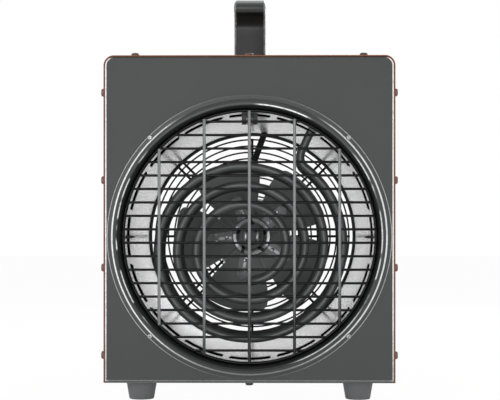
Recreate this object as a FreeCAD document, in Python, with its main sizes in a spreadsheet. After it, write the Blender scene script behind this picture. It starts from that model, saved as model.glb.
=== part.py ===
import FreeCAD, Part
import math
import os
import Sketcher
from FreeCAD import Placement, Rotation, Vector

# Portable fan heater: sheet-metal box on four rubber feet, round outlet with a wire guard,
# spiral heating tubes in a steel drum, an axial fan on the rear guard, controls at the rear top.
# Millimetres. Front faces -Y, +X is to the right seen from the front, the floor is z = 0.

SIZES = (
    ("ring_bore_dia", 252, "clear bore of the outlet ring"),
    ("lip_width", 8, "rolled lip of the outlet ring, across"),
    ("lip_proud", 6, "lip crest in front of the panel"),
    ("lip_round", 3.5, "outer radius of the rolled lip"),
    ("ring_flange_width", 5, "flat flange outside the lip"),
    ("ring_sheet", 1, "sheet of the outlet ring"),
    ("ring_depth", 22, "ring wall behind the panel face"),
    ("ring_screw_inset", 2, "ring screws inside the flange edge"),
    ("side_margin", 2.3, "flange edge to the inner side of the cover"),
    ("floor_margin", 3.5, "flange edge to the underside of the base"),
    ("head_room", 38.5, "flange edge to the top of the cover"),
    ("body_depth", 300, "front panel face to rear panel face"),
    ("corner_radius", 10, "top corners of the cover, outside"),
    ("wrap_sheet", 1.2, "sheet of the cover"),
    ("wrap_setback", 0.6, "cover edge behind the panel face"),
    ("wrap_fit", 0.1, "panel flange inside the cover"),
    ("panel_sheet", 1, "sheet of the panels"),
    ("fold_radius", 2.5, "outer radius of the panel folds"),
    ("flange_depth", 14, "folded edge of the panels"),
    ("hole_clear", 0.3, "ring wall in the panel opening"),
    ("base_sheet", 1.2, "sheet of the base plate"),
    ("base_flange", 18, "upturned sides of the base plate"),
    ("base_fit", 0.1, "base plate beside the cover"),
    ("foot_height", 19, "rubber feet"),
    ("foot_top_dia", 31, "foot at the base plate"),
    ("foot_end_dia", 24.5, "foot on the floor"),
    ("foot_spacing", 216, "feet, left to right"),
    ("foot_inset", 32, "foot centre behind the panel face"),
    ("foot_well_dia", 13, "screw well in the foot"),
    ("foot_well_depth", 9, "screw well in the foot"),
    ("screw_dia", 4.2, "tapping screws of the casing"),
    ("screw_head_dia", 8, "their pan heads"),
    ("screw_head_height", 2.9, "their pan heads"),
    ("screw_length", 9.5, "under the head"),
    ("screw_clear", 0.05, "shank in its hole"),
    ("screw_inset", 7, "screw row behind the panel face"),
    ("side_screw_first", 26.7, "lowest side screw above the base"),
    ("side_screw_pitch", 85.8, "side screws, up the side"),
    ("top_screw_spacing", 224, "outer top screws, left to right"),
    ("sill_screw_rise", 9, "side screws of the base plate"),
    ("sill_screw_spacing", 130, "side screws of the base plate"),
    ("small_screw_dia", 2.9, "screws of the ring and the drum"),
    ("small_head_dia", 5.2, "their heads"),
    ("small_head_height", 2.2, "their heads"),
    ("small_length", 10, "under the head"),
    ("foot_screw_dia", 5, "foot screws"),
    ("foot_head_dia", 9.5, "foot screw heads"),
    ("nut_across", 8.8, "foot nuts, over the corners"),
    ("nut_height", 4, "foot nuts"),
    ("handle_span", 176, "front face to rear face of the legs"),
    ("handle_width", 32, "handle across"),
    ("handle_leg", 15, "leg thickness"),
    ("handle_neck", 34.6, "straight part of the leg"),
    ("handle_nose", 13.6, "nose in front of the leg"),
    ("nose_round", 5.8, "radius of the nose"),
    ("top_slope", 16.4, "slope of the grip at the nose, degrees"),
    ("finger_neck", 40, "straight inner side of the leg"),
    ("under_slope", 7.5, "slope of the underside at the legs, degrees"),
    ("grip_corner", 12, "inner corner between leg and grip"),
    ("handle_round", 3, "long edges of the handle"),
    ("guard_wire", 2.5, "cross wires of the outlet guard"),
    ("guard_bar", 3, "upright wires of the outlet guard"),
    ("guard_rim", 3, "rim wire of the outlet guard"),
    ("guard_pitch", 13.2, "cross wires"),
    ("guard_rows", 18, "cross wires"),
    ("guard_lift", 0.9, "rows above the axis"),
    ("bar_pitch", 44.2, "upright wires"),
    ("guard_clear", 0.25, "rim inside the ring wall"),
    ("guard_depth", 9, "rim plane behind the panel face"),
    ("weld_sink", 0.3, "crossing wires pressed together"),
    ("drum_clearance", 1.6, "drum inside the ring wall"),
    ("drum_sheet", 0.8, "sheet of the drum"),
    ("drum_setback", 15, "drum edge behind the panel face"),
    ("slot_count", 16, "slots around the drum"),
    ("slot_length", 38.8, "along the rim"),
    ("slot_width", 8, "along the axis"),
    ("slot_depth", 45.5, "slots behind the panel face"),
    ("stay_depth", 32, "drum screws behind the panel face"),
    ("stay_width", 20, "drum brackets across"),
    ("stay_sheet", 1.5, "drum brackets"),
    ("stay_foot", 20, "feet of the drum brackets"),
    ("stay_gap", 0.1, "bracket beside drum and casing"),
    ("tube_dia", 8.5, "heating tube"),
    ("spiral_count", 2, "heating tubes, front to back"),
    ("spiral_depth", 58, "first spiral behind the panel face"),
    ("spiral_step", 34, "heating tubes, front to back"),
    ("spiral_shift", 1.3, "spiral centre left of the axis"),
    ("spiral_drop", 7.2, "spiral centre below the axis"),
    ("spiral_edge", 15.35, "outer turn to the drum"),
    ("spiral_inner", 31.2, "inner end to the spiral centre"),
    ("spiral_start", 53, "angle of the outer end, degrees"),
    ("spiral_turns", 3.36, "turns of one spiral"),
    ("leg_bend", 14, "bend into a leg"),
    ("leg_lean", 65.5, "slope of the legs, degrees"),
    ("leg_reach", 21, "tube outside the drum"),
    ("bush_dia", 15, "bush around a leg"),
    ("bush_height", 8, "bush outside the drum"),
    ("bush_clear", 0.2, "leg in its bush and hole"),
    ("stud_dia", 4, "terminal stud"),
    ("stud_length", 12, "terminal stud"),
    ("stud_nut", 8, "terminal nut, over the corners"),
    ("stud_nut_height", 3.2, "terminal nut"),
    ("link_width", 12, "strip that joins two legs"),
    ("link_sheet", 1, "strip that joins two legs"),
    ("bulb_dia", 6, "sensor bulb of the limiter"),
    ("bulb_length", 26, "sensor bulb of the limiter"),
    ("bulb_depth", 24, "bulb end behind the panel face"),
    ("clip_width", 5, "bulb clips along the axis"),
    ("clip_sheet", 4.7, "jaws of the bulb clips"),
    ("fan_dia", 172, "over the blade tips"),
    ("hub_gap", 6.1, "fan hub before the motor"),
    ("blade_count", 5, "blades"),
    ("blade_sheet", 1.2, "blades"),
    ("blade_root", 22, "inner edge of a blade"),
    ("blade_pitch", 24, "slope of a blade, degrees"),
    ("blade_camber", 110, "curve of a blade"),
    ("blade_first", 40, "angle of the first blade, degrees"),
    ("arm_sheet", 1.6, "arms of the fan spider"),
    ("arm_reach", 47, "tip of an arm"),
    ("arm_width", 17, "arm at the hub"),
    ("hub_dia", 28, "fan hub"),
    ("hub_disc_dia", 42, "disc of the fan hub"),
    ("hub_disc_sheet", 4, "disc of the fan hub"),
    ("hub_length", 26, "fan hub"),
    ("hub_nut_dia", 19, "nut on the fan hub"),
    ("hub_nut_length", 9, "nut on the fan hub"),
    ("shaft_dia", 6, "motor shaft"),
    ("shaft_clear", 0.03, "shaft in its bearings"),
    ("motor_dia", 84, "motor"),
    ("motor_length", 56, "motor"),
    ("motor_wall", 2, "motor shields"),
    ("motor_end", 3, "end walls of the motor shields"),
    ("stack_length", 22, "stator stack"),
    ("air_gap", 0.5, "rotor in the stator"),
    ("rotor_dia", 34, "rotor"),
    ("bearing_dia", 16, "bearings"),
    ("bearing_width", 5, "bearings"),
    ("winding_dia", 68, "end windings"),
    ("winding_bore", 42, "end windings"),
    ("winding_length", 8, "end windings"),
    ("plate_dia", 92, "motor plate on the rear guard"),
    ("plate_sheet", 2, "motor plate"),
    ("motor_screw_circle", 60, "motor screws"),
    ("lead_dia", 7.5, "motor lead"),
    ("lead_x", 15.3, "motor lead in the drum wall, from the middle"),
    ("lead_lean", 70, "slope of the motor lead, degrees"),
    ("lead_reach", 9, "motor lead above the shelf"),
    ("lead_clear", 0.2, "motor lead in its holes and on the stator"),
    ("inlet_rim", 2.6, "rear panel inside the drum bore"),
    ("spoke_wire", 3, "spokes of the rear guard"),
    ("spoke_pair", 8, "wires of a double spoke, apart"),
    ("spoke_lap", 6, "spoke loop on the panel, from the inlet edge"),
    ("spoke_gap", 0.1, "spokes beside the panel"),
    ("ring_wire", 2, "rings of the rear guard"),
    ("ring_pitch", 7.6, "rings of the rear guard"),
    ("ring_count", 10, "rings of the rear guard"),
    ("control_drop", 28, "controls below the top"),
    ("thermostat_x", 42, "thermostat, from the middle"),
    ("selector_x", 42, "selector, from the middle"),
    ("limiter_x", 98, "limiter, from the middle"),
    ("gland_x", 100, "cable gland, from the middle"),
    ("knob_dia", 36, "knobs"),
    ("knob_height", 18, "knobs"),
    ("knob_gap", 1, "knob to panel"),
    ("knob_skirt", 5, "disc of a knob"),
    ("knob_bar", 9, "grip bar of a knob"),
    ("spindle_dia", 6, "control spindles"),
    ("spindle_grip", 11, "spindle in the knob"),
    ("spindle_depth", 16, "spindle in the control"),
    ("spindle_clear", 0.04, "spindle in the control"),
    ("spindle_play", 1, "spindle in the panel"),
    ("control_side", 35, "thermostat and selector bodies"),
    ("thermostat_deep", 28, "thermostat body"),
    ("selector_deep", 36, "selector body"),
    ("limiter_side", 24, "limiter body"),
    ("limiter_deep", 22, "limiter body"),
    ("button_dia", 8, "reset button"),
    ("button_proud", 5, "reset button in front of the panel"),
    ("button_depth", 9, "reset button in the limiter"),
    ("button_travel", 2, "reset button"),
    ("button_clear", 0.3, "reset button in its collar"),
    ("collar_dia", 15, "reset collar"),
    ("collar_proud", 2, "reset collar"),
    ("cable_dia", 10, "supply cable"),
    ("gland_thread", 16, "gland thread"),
    ("gland_across", 24, "gland hexagon, over the corners"),
    ("gland_hex", 7, "gland hexagon"),
    ("gland_nose", 10, "gland cap"),
    ("locknut_height", 5, "gland locknut"),
    ("shelf_sheet", 1, "shelf under the controls"),
    ("shelf_rise", 2, "shelf above the drum"),
    ("shelf_depth", 96, "shelf, front to back"),
    ("block_length", 60, "terminal block"),
    ("block_depth", 20, "terminal block"),
    ("block_height", 18, "terminal block"),
    ("block_inset", 75, "terminal block before the rear face"),
    ("block_poles", 5, "terminal block"),
)


class Size(float):
    """A length that keeps the formula it came from, so that a property can be bound to it."""

    def __new__(cls, value, text=None):
        made = float.__new__(cls, value)
        made.text = text or f"{float(value):.9f}"
        return made

    def _join(self, other, sign, value, swap=False):
        other = other if isinstance(other, Size) else Size(other)
        pair = (other.text, self.text) if swap else (self.text, other.text)
        return Size(value, f"({pair[0]} {sign} {pair[1]})")

    def __add__(self, other):
        return self._join(other, "+", float(self) + float(other))

    def __radd__(self, other):
        return self._join(other, "+", float(other) + float(self), True)

    def __sub__(self, other):
        return self._join(other, "-", float(self) - float(other))

    def __rsub__(self, other):
        return self._join(other, "-", float(other) - float(self), True)

    def __mul__(self, other):
        return self._join(other, "*", float(self) * float(other))

    def __rmul__(self, other):
        return self._join(other, "*", float(other) * float(self), True)

    def __truediv__(self, other):
        return self._join(other, "/", float(self) / float(other))

    def __neg__(self):
        return Size(-float(self), f"(0 - {self.text})")


class Sizes:
    """The cells of the sheet by their names."""


doc = FreeCAD.newDocument("FanHeater")
sheet = doc.addObject("Spreadsheet::Sheet", "Sizes")
s = Sizes()
for row, (alias, value, note) in enumerate(SIZES, 1):
    sheet.set(f"A{row}", note)
    sheet.set(f"B{row}", str(value))
    sheet.setAlias(f"B{row}", alias)
doc.recompute()
for alias, value, note in SIZES:
    setattr(s, alias, Size(sheet.get(alias), f"Sizes.{alias}"))

HALF = math.sqrt(0.5)
nodes = []

# Places that several pieces share.
bore_r = s.ring_bore_dia / 2
lip_r = bore_r + s.lip_width
flange_r = lip_r + s.ring_flange_width
inner_half = flange_r + s.side_margin
half_width = inner_half + s.wrap_sheet
floor_z = s.foot_height
axis_z = floor_z + flange_r + s.floor_margin
top_z = axis_z + flange_r + s.head_room
front_y = s.lip_proud - (s.lip_proud + s.body_depth + s.knob_gap + s.knob_height) / 2
rear_y = front_y + s.body_depth
middle_y = front_y + s.body_depth / 2
axis_at = (0, front_y, axis_z)
drum_outer_r = bore_r - s.drum_clearance
drum_r = drum_outer_r - s.drum_sheet
inlet_r = drum_r - s.inlet_rim
panel_half = inner_half - s.wrap_fit
panel_top = top_z - s.wrap_sheet - s.wrap_fit
panel_floor = floor_z + s.base_sheet
control_z = top_z - s.control_drop
ring_screw_r = flange_r - s.ring_screw_inset
screw_r = s.screw_dia / 2
screw_hole_r = screw_r + s.screw_clear
small_r = s.small_screw_dia / 2
small_hole_r = small_r + s.screw_clear
side_heights = [floor_z + s.side_screw_first + s.side_screw_pitch * k for k in range(4)]
screw_rows = (front_y + s.screw_inset, rear_y - s.screw_inset)
top_columns = (-s.top_screw_spacing / 2, Size(0), s.top_screw_spacing / 2)
sill_columns = (middle_y - s.sill_screw_spacing / 2, middle_y + s.sill_screw_spacing / 2)
foot_columns = (-s.foot_spacing / 2, s.foot_spacing / 2)
foot_rows = (front_y + s.foot_inset, rear_y - s.foot_inset)
handle_rows = tuple(middle_y + side * (s.handle_span / 2 - s.handle_leg / 2) for side in (-1, 1))


def bind(thing, prop, size):
    """Tie one property to the sheet."""
    size = size if isinstance(size, Size) else Size(size)
    thing.setExpression(prop, size.text)


def put(thing, at):
    """Tie the place of a piece to the sheet."""
    for axis, place in zip("xyz", at):
        bind(thing, f"Placement.Base.{axis}", place)


def keep(thing, label):
    """Name a finished piece; the label is its file name."""
    thing.Label = label
    nodes.append(thing)
    return thing


def new_body(name, at=(0, 0, 0)):
    body = doc.addObject("PartDesign::Body", name)
    put(body, at)
    return body


def new_sketch(body, plane, level=0):
    """Sketch on an origin plane of the body, moved to a level along X, Y or Z."""
    sketch = body.newObject("Sketcher::SketchObject", "Outline")
    support = [f for f in body.Origin.OriginFeatures if f.Role == f"{plane}_Plane"][0]
    sketch.AttachmentSupport = [(support, "")]
    sketch.MapMode = "FlatFace"
    bind(sketch, "AttachmentOffset.Base.z", -level if plane == "XZ" else level)
    return sketch


def pin(sketch, geo, end, x, y):
    """Hold one point of a sketch at a place from the sheet."""
    for kind, place, axis in (("DistanceX", x, -2), ("DistanceY", y, -1)):
        if abs(float(place)) < 1e-9:
            sketch.addConstraint(Sketcher.Constraint("PointOnObject", geo, end, axis))
        else:
            index = sketch.addConstraint(Sketcher.Constraint(kind, geo, end, float(place)))
            bind(sketch, f"Constraints[{index}]", place)


def trace(sketch, path):
    """Closed outline: (x, y, bend) points, bend None for a line or (radius, side) for an arc on."""
    count = len(path)
    ends = []
    for i, (x, y, bend) in enumerate(path):
        a = Vector(float(x), float(y), 0)
        b = Vector(float(path[(i + 1) % count][0]), float(path[(i + 1) % count][1]), 0)
        if bend is None:
            geo = sketch.addGeometry(Part.LineSegment(a, b))
            ends.append((geo, 1, 2))
            continue
        radius, side = float(bend[0]), bend[1]
        chord = b - a
        left = Vector(-chord.y, chord.x, 0).normalize()
        rise = math.sqrt(max(radius ** 2 - (chord.Length / 2) ** 2, 0))
        centre = (a + b) * 0.5 + left * (rise * side)
        angles = [math.atan2(p.y - centre.y, p.x - centre.x) for p in (a, b)]
        circle = Part.Circle(centre, Vector(0, 0, 1), radius)
        if side > 0:
            geo = sketch.addGeometry(Part.ArcOfCircle(circle, angles[0], angles[1]))
            ends.append((geo, 1, 2))
        else:
            geo = sketch.addGeometry(Part.ArcOfCircle(circle, angles[1], angles[0]))
            ends.append((geo, 2, 1))
    for i, (x, y, bend) in enumerate(path):
        geo, start, stop = ends[i]
        following, begin, finish = ends[(i + 1) % count]
        sketch.addConstraint(Sketcher.Constraint("Coincident", geo, stop, following, begin))
    for i, (x, y, bend) in enumerate(path):
        pin(sketch, ends[i][0], ends[i][1], x, y)
        if bend is not None:
            index = sketch.addConstraint(Sketcher.Constraint("Radius", ends[i][0], float(bend[0])))
            bind(sketch, f"Constraints[{index}]", bend[0])
    return sketch


def draw(sketch, corners, rounds=None):
    """Closed outline of straight sides along the axes or not; rounds maps square corners to radii."""
    rounds = rounds or {}
    count = len(corners)

    def step(i, j):
        dx = float(corners[j][0]) - float(corners[i][0])
        dy = float(corners[j][1]) - float(corners[i][1])
        return (dx > 1e-9) - (dx < -1e-9), (dy > 1e-9) - (dy < -1e-9)

    path = []
    for i, (x, y) in enumerate(corners):
        if i not in rounds:
            path.append((x, y, None))
            continue
        radius = rounds[i]
        back, ahead = step(i, i - 1), step(i, (i + 1) % count)
        side = 1 if ahead[0] * back[1] - ahead[1] * back[0] > 0 else -1
        path.append((x + radius * back[0], y + radius * back[1], (radius, side)))
        path.append((x + radius * ahead[0], y + radius * ahead[1], None))
    return trace(sketch, path)


def circle(sketch, x, y, radius):
    geo = sketch.addGeometry(Part.Circle(Vector(float(x), float(y), 0), Vector(0, 0, 1), float(radius)))
    pin(sketch, geo, 3, x, y)
    index = sketch.addConstraint(Sketcher.Constraint("Radius", geo, float(radius)))
    bind(sketch, f"Constraints[{index}]", radius)


def rectangle(sketch, x0, y0, x1, y1):
    return draw(sketch, [(x0, y0), (x1, y0), (x1, y1), (x0, y1)])


def pad(body, sketch, length, both=False, back=False):
    feature = body.newObject("PartDesign::Pad", "Pad")
    feature.Profile = sketch
    feature.SideType = "Symmetric" if both else "One side"
    feature.Reversed = back
    bind(feature, "Length", length)
    return feature


def pocket(body, sketch, length=None, back=False):
    """Cut by a length, or right through both ways."""
    feature = body.newObject("PartDesign::Pocket", "Pocket")
    feature.Profile = sketch
    feature.Reversed = back
    if length is None:
        feature.SideType = "Two sides"
        feature.Type = "ThroughAll"
        feature.Type2 = "ThroughAll"
    else:
        bind(feature, "Length", length)
    return feature


def fold(body, feature, radius, picked):
    """Round the edges that are picked."""
    doc.recompute()
    edges = [f"Edge{i}" for i, edge in enumerate(feature.Shape.Edges, 1) if picked(edge)]
    rounding = body.newObject("PartDesign::Fillet", "Fold")
    rounding.Base = (feature, edges)
    bind(rounding, "Radius", radius)
    return rounding


def lathe(name, at, corners, rounds=None, upright=False):
    """Turned piece about a line along Y, or along Z when upright; corners are (along, radius)."""
    body = new_body(name, at)
    sketch = new_sketch(body, "XZ" if upright else "YZ")
    draw(sketch, [(r, a) for a, r in corners] if upright else corners, rounds)
    feature = body.newObject("PartDesign::Revolution", "Turned")
    feature.Profile = sketch
    feature.ReferenceAxis = (sketch, ["V_Axis" if upright else "H_Axis"])
    feature.Angle = 360
    return body


def block(name, at, wide, deep, high):
    thing = doc.addObject("Part::Box", name)
    for prop, size in (("Length", wide), ("Width", deep), ("Height", high)):
        bind(thing, prop, size)
    put(thing, at)
    return thing


def rod(name, at, radius, length):
    """Round bar along +Y."""
    thing = doc.addObject("Part::Cylinder", name)
    bind(thing, "Radius", radius)
    bind(thing, "Height", length)
    thing.Placement = Placement(Vector(), Rotation(Vector(1, 0, 0), -90))
    put(thing, at)
    return thing


def hexagon(name, at, across, length):
    """Six-sided bar along +Y."""
    thing = doc.addObject("Part::Prism", name)
    thing.Polygon = 6
    bind(thing, "Circumradius", across / 2)
    bind(thing, "Height", length)
    thing.Placement = Placement(Vector(), Rotation(Vector(1, 0, 0), -90))
    put(thing, at)
    return thing


def less(name, base, tool):
    thing = doc.addObject("Part::Cut", name)
    thing.Base = base
    thing.Tool = tool
    return thing


def joined(name, pieces):
    thing = doc.addObject("Part::MultiFuse", name)
    thing.Shapes = pieces
    return thing


def formed(name, shape, at=(0, 0, 0)):
    """Piece that no feature makes, such as a bent wire or a group of like screws."""
    thing = doc.addObject("Part::Feature", name)
    thing.Shape = shape
    put(thing, at)
    return thing


def turned_solid(points):
    """Solid turned about Z from (radius, height) points."""
    face = Part.Face(Part.makePolygon([Vector(r, 0, z) for r, z in points + points[:1]]))
    return face.revolve(Vector(), Vector(0, 0, 1), 360)


def screw(dia, head_dia, head_height, length, point=0.0):
    """Pan-head screw along -Z; the underside of the head is at the origin."""
    r, hr = dia / 2, head_dia / 2
    points = [(0, -length), (r if not point else 0.3, -length), (r, -length + point), (r, 0), (hr, 0)]
    points += [(hr, head_height * 0.45), (hr * 0.86, head_height * 0.8), (hr * 0.55, head_height)]
    if not point:
        points.pop(2)
    return turned_solid([(float(a), float(b)) for a, b in points + [(0, head_height)]])


def aimed(shape, at, way):
    """Copy of a screw at a place, driven along a direction."""
    made = shape.copy()
    made.Placement = Placement(Vector(*[float(v) for v in at]), Rotation(Vector(0, 0, -1), Vector(*way)))
    return made


def around(radius, count, first):
    """Places on a circle in the front plane, as (x, z)."""
    steps = [math.radians(first + 360.0 * k / count) for k in range(int(count))]
    return [(radius * math.cos(a), radius * math.sin(a)) for a in steps]


def wire_between(a, b, dia):
    a, b = Vector(*a), Vector(*b)
    return Part.makeCylinder(dia / 2, (b - a).Length, a, b - a)


def hoop(radius, dia, y):
    return Part.makeTorus(radius, dia / 2, Vector(0, y, 0), Vector(0, 1, 0))


# Casing: a cover bent over the top and both sides, two pan-shaped panels and a base plate.

def make_cover():
    body = new_body("Cover")
    inner_top = top_z - s.wrap_sheet
    bend = s.corner_radius
    inner_bend = bend - s.wrap_sheet
    sketch = new_sketch(body, "XZ", rear_y - s.wrap_setback)
    draw(sketch, [(-half_width, floor_z), (-half_width, top_z), (half_width, top_z), (half_width, floor_z),
                  (inner_half, floor_z), (inner_half, inner_top), (-inner_half, inner_top),
                  (-inner_half, floor_z)], {1: bend, 2: bend, 5: inner_bend, 6: inner_bend})
    pad(body, sketch, s.body_depth - 2 * s.wrap_setback)
    sides = new_sketch(body, "YZ")
    for y in screw_rows:
        for z in side_heights:
            circle(sides, y, z, screw_hole_r)
    for y in sill_columns:
        circle(sides, y, floor_z + s.sill_screw_rise, screw_hole_r)
    pocket(body, sides)
    roof = new_sketch(body, "XY", top_z)
    for y in screw_rows:
        for x in top_columns:
            circle(roof, x, y, screw_hole_r)
    for y in handle_rows:
        circle(roof, Size(0), y, screw_hole_r)
    pocket(body, roof, s.wrap_sheet * 3)
    keep(body, "casing_wrap")


def make_pan(name, face_y, inward):
    """Panel with edges folded inward; inward is +1 for the front and -1 for the rear."""
    body = new_body(name)
    rim_y = face_y + s.flange_depth * inward
    front = inward > 0
    sheet_t = s.panel_sheet
    bend = s.corner_radius - s.wrap_sheet - s.wrap_fit
    outer = draw(new_sketch(body, "XZ", rim_y),
                 [(-panel_half, panel_floor), (-panel_half, panel_top), (panel_half, panel_top),
                  (panel_half, panel_floor)], {1: bend, 2: bend})
    solid = pad(body, outer, s.flange_depth, back=not front)

    def lies_at(y):
        return lambda edge: max(abs(v.Point.y - float(y)) for v in edge.Vertexes) < 1e-4

    folded = fold(body, solid, s.fold_radius, lies_at(face_y))
    side, roof, sill = panel_half - sheet_t, panel_top - sheet_t, panel_floor + sheet_t
    inner = draw(new_sketch(body, "XZ", rim_y),
                 [(-side, sill), (-side, roof), (side, roof), (side, sill)],
                 {1: bend - sheet_t, 2: bend - sheet_t})
    hollow = pocket(body, inner, s.flange_depth - sheet_t, back=front)
    fold(body, hollow, s.fold_radius - sheet_t, lies_at(face_y + sheet_t * inward))
    rows = new_sketch(body, "YZ")
    for z in side_heights:
        circle(rows, face_y + s.screw_inset * inward, z, screw_hole_r)
    pocket(body, rows)
    columns = new_sketch(body, "XY", panel_top)
    for x in top_columns:
        circle(columns, x, face_y + s.screw_inset * inward, screw_hole_r)
    pocket(body, columns, sheet_t * 3)
    lowest = new_sketch(body, "XY", panel_floor)
    circle(lowest, Size(0), face_y + s.screw_inset * inward, screw_hole_r)
    pocket(body, lowest, sheet_t * 3, back=True)
    return body


def make_panels():
    front = make_pan("FrontPanel", front_y, 1)
    holes = new_sketch(front, "XZ")
    circle(holes, Size(0), axis_z, bore_r + s.ring_sheet + s.hole_clear)
    for sx in (-1, 1):
        for sz in (-1, 1):
            circle(holes, ring_screw_r * (HALF * sx), axis_z + ring_screw_r * (HALF * sz), small_hole_r)
    pocket(front, holes)
    keep(front, "front_panel")

    rear = make_pan("RearPanel", rear_y, -1)
    holes = new_sketch(rear, "XZ")
    circle(holes, Size(0), axis_z, inlet_r)
    lap_r = inlet_r + s.spoke_lap
    for sx in (-1, 1):
        for sz in (-1, 1):
            circle(holes, lap_r * (HALF * sx), axis_z + lap_r * (HALF * sz), screw_hole_r)
    circle(holes, s.thermostat_x, control_z, s.spindle_dia / 2 + s.spindle_play)
    circle(holes, -s.selector_x, control_z, s.spindle_dia / 2 + s.spindle_play)
    circle(holes, -s.limiter_x, control_z, s.button_dia / 2 + s.button_clear)
    circle(holes, s.gland_x, control_z, s.gland_thread / 2 + s.screw_clear)
    pocket(rear, holes)
    keep(rear, "rear_panel")


def make_base():
    body = new_body("Base")
    half = inner_half - s.base_fit
    pad(body, rectangle(new_sketch(body, "XY", floor_z), -half, front_y + s.wrap_setback, half,
                        rear_y - s.wrap_setback), s.base_sheet)
    gap = s.flange_depth + 1
    for side in (-1, 1):
        edges = (half * side, (half - s.base_sheet) * side)
        strip = new_sketch(body, "XY", floor_z)
        rectangle(strip, min(edges), front_y + gap, max(edges), rear_y - gap)
        pad(body, strip, s.base_flange)
    sill = new_sketch(body, "YZ")
    for y in sill_columns:
        circle(sill, y, floor_z + s.sill_screw_rise, screw_hole_r)
    pocket(body, sill)
    floor = new_sketch(body, "XY", floor_z)
    for y in screw_rows:
        circle(floor, Size(0), y, screw_hole_r)
    for x in foot_columns:
        for y in foot_rows:
            circle(floor, x, y, s.foot_screw_dia / 2 + s.screw_clear)
    pocket(body, floor, s.base_sheet * 3, back=True)
    keep(body, "base_plate")


def make_casing_screws():
    one = screw(s.screw_dia, s.screw_head_dia, s.screw_head_height, s.screw_length, 3.0)
    placed = []
    for side in (-1, 1):
        for y in screw_rows:
            placed += [aimed(one, (half_width * side, y, z), (-side, 0, 0)) for z in side_heights]
    for y in screw_rows:
        placed += [aimed(one, (x, y, top_z), (0, 0, -1)) for x in top_columns]
    keep(formed("CasingScrews", Part.makeCompound(placed)), "casing_screws")
    low = []
    for side in (-1, 1):
        low += [aimed(one, (half_width * side, y, floor_z + s.sill_screw_rise), (-side, 0, 0))
                for y in sill_columns]
    low += [aimed(one, (0, y, floor_z), (0, 0, 1)) for y in screw_rows]
    keep(formed("BaseScrews", Part.makeCompound(low)), "base_screws")


def make_feet():
    hole_r = s.foot_screw_dia / 2 + s.screw_clear
    well_r = s.foot_well_dia / 2
    for x, across in zip(foot_columns, ("left", "right")):
        for y, along in zip(foot_rows, ("front", "rear")):
            foot = lathe(f"Foot_{along}_{across}", (x, y, 0),
                         [(Size(0), well_r), (Size(0), s.foot_end_dia / 2), (s.foot_height, s.foot_top_dia / 2),
                          (s.foot_height, hole_r), (s.foot_well_depth, hole_r), (s.foot_well_depth, well_r)],
                         upright=True)
            keep(foot, f"foot_{along}_{across}")
    reach = s.foot_height - s.foot_well_depth + s.base_sheet + s.nut_height + 1
    one = screw(s.foot_screw_dia, s.foot_head_dia, s.screw_head_height, reach)
    nut = Part.Face(Part.makePolygon([Vector(math.cos(a), math.sin(a), 0) * float(s.nut_across / 2)
                                      for a in [math.radians(60 * k) for k in range(7)]]))
    nut = nut.extrude(Vector(0, 0, float(s.nut_height)))
    nut = nut.cut(Part.makeCylinder(float(hole_r), float(s.nut_height)))
    screws, nuts = [], []
    for x in foot_columns:
        for y in foot_rows:
            screws.append(aimed(one, (x, y, s.foot_well_depth), (0, 0, 1)))
            nuts.append(nut.translated(Vector(float(x), float(y), float(panel_floor))))
    keep(formed("FootScrews", Part.makeCompound(screws)), "foot_screws")
    keep(formed("FootNuts", Part.makeCompound(nuts)), "foot_nuts")


def make_handle():
    body = new_body("Handle", (0, middle_y, top_z))
    leg, neck, nose, tip_r = s.handle_span / 2, s.handle_neck, s.handle_nose, s.nose_round
    inner, corner = leg - s.handle_leg, s.grip_corner
    tip, low = leg + nose, neck + nose
    slope = math.radians(s.top_slope)
    crown = tip + tip_r * math.sin(slope)
    high = low + tip_r * (1 + math.cos(slope))
    top_bend = crown / math.sin(slope)
    slope = math.radians(s.under_slope)
    span = inner - corner * (1 - math.sin(slope))
    under = s.finger_neck + corner * math.cos(slope)
    under_bend = span / math.sin(slope)
    path = [(-leg, Size(0), None), (-leg, neck, (nose, 1)), (-tip, low, (tip_r, -1)),
            (-crown, high, (top_bend, -1)), (crown, high, (tip_r, -1)), (tip, low, (nose, 1)),
            (leg, neck, None), (leg, Size(0), None), (inner, Size(0), None),
            (inner, s.finger_neck, (corner, 1)), (span, under, (under_bend, 1)),
            (-span, under, (corner, 1)), (-inner, s.finger_neck, None), (-inner, Size(0), None)]
    solid = pad(body, trace(new_sketch(body, "YZ"), path), s.handle_width, both=True)
    half = float(s.handle_width) / 2

    def long_edge(edge):
        on_side = all(abs(abs(v.Point.x) - half) < 1e-4 for v in edge.Vertexes)
        same = len({round(v.Point.x) for v in edge.Vertexes}) == 1
        return on_side and same and max(v.Point.z for v in edge.Vertexes) > 0.01

    fold(body, solid, s.handle_round, long_edge)
    holes = new_sketch(body, "XY")
    for y in (-1, 1):
        circle(holes, Size(0), (s.handle_span / 2 - s.handle_leg / 2) * y, screw_hole_r)
    pocket(body, holes, s.screw_length * 2 + 1, back=True)
    keep(body, "handle")
    one = screw(s.screw_dia, s.screw_head_dia, s.screw_head_height, s.screw_length * 2, 3.0)
    placed = [aimed(one, (0, y, top_z - s.wrap_sheet), (0, 0, 1)) for y in handle_rows]
    keep(formed("HandleScrews", Part.makeCompound(placed)), "handle_screws")


# Outlet: a rolled ring with four screws in its flange and a welded wire guard inside it.

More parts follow.
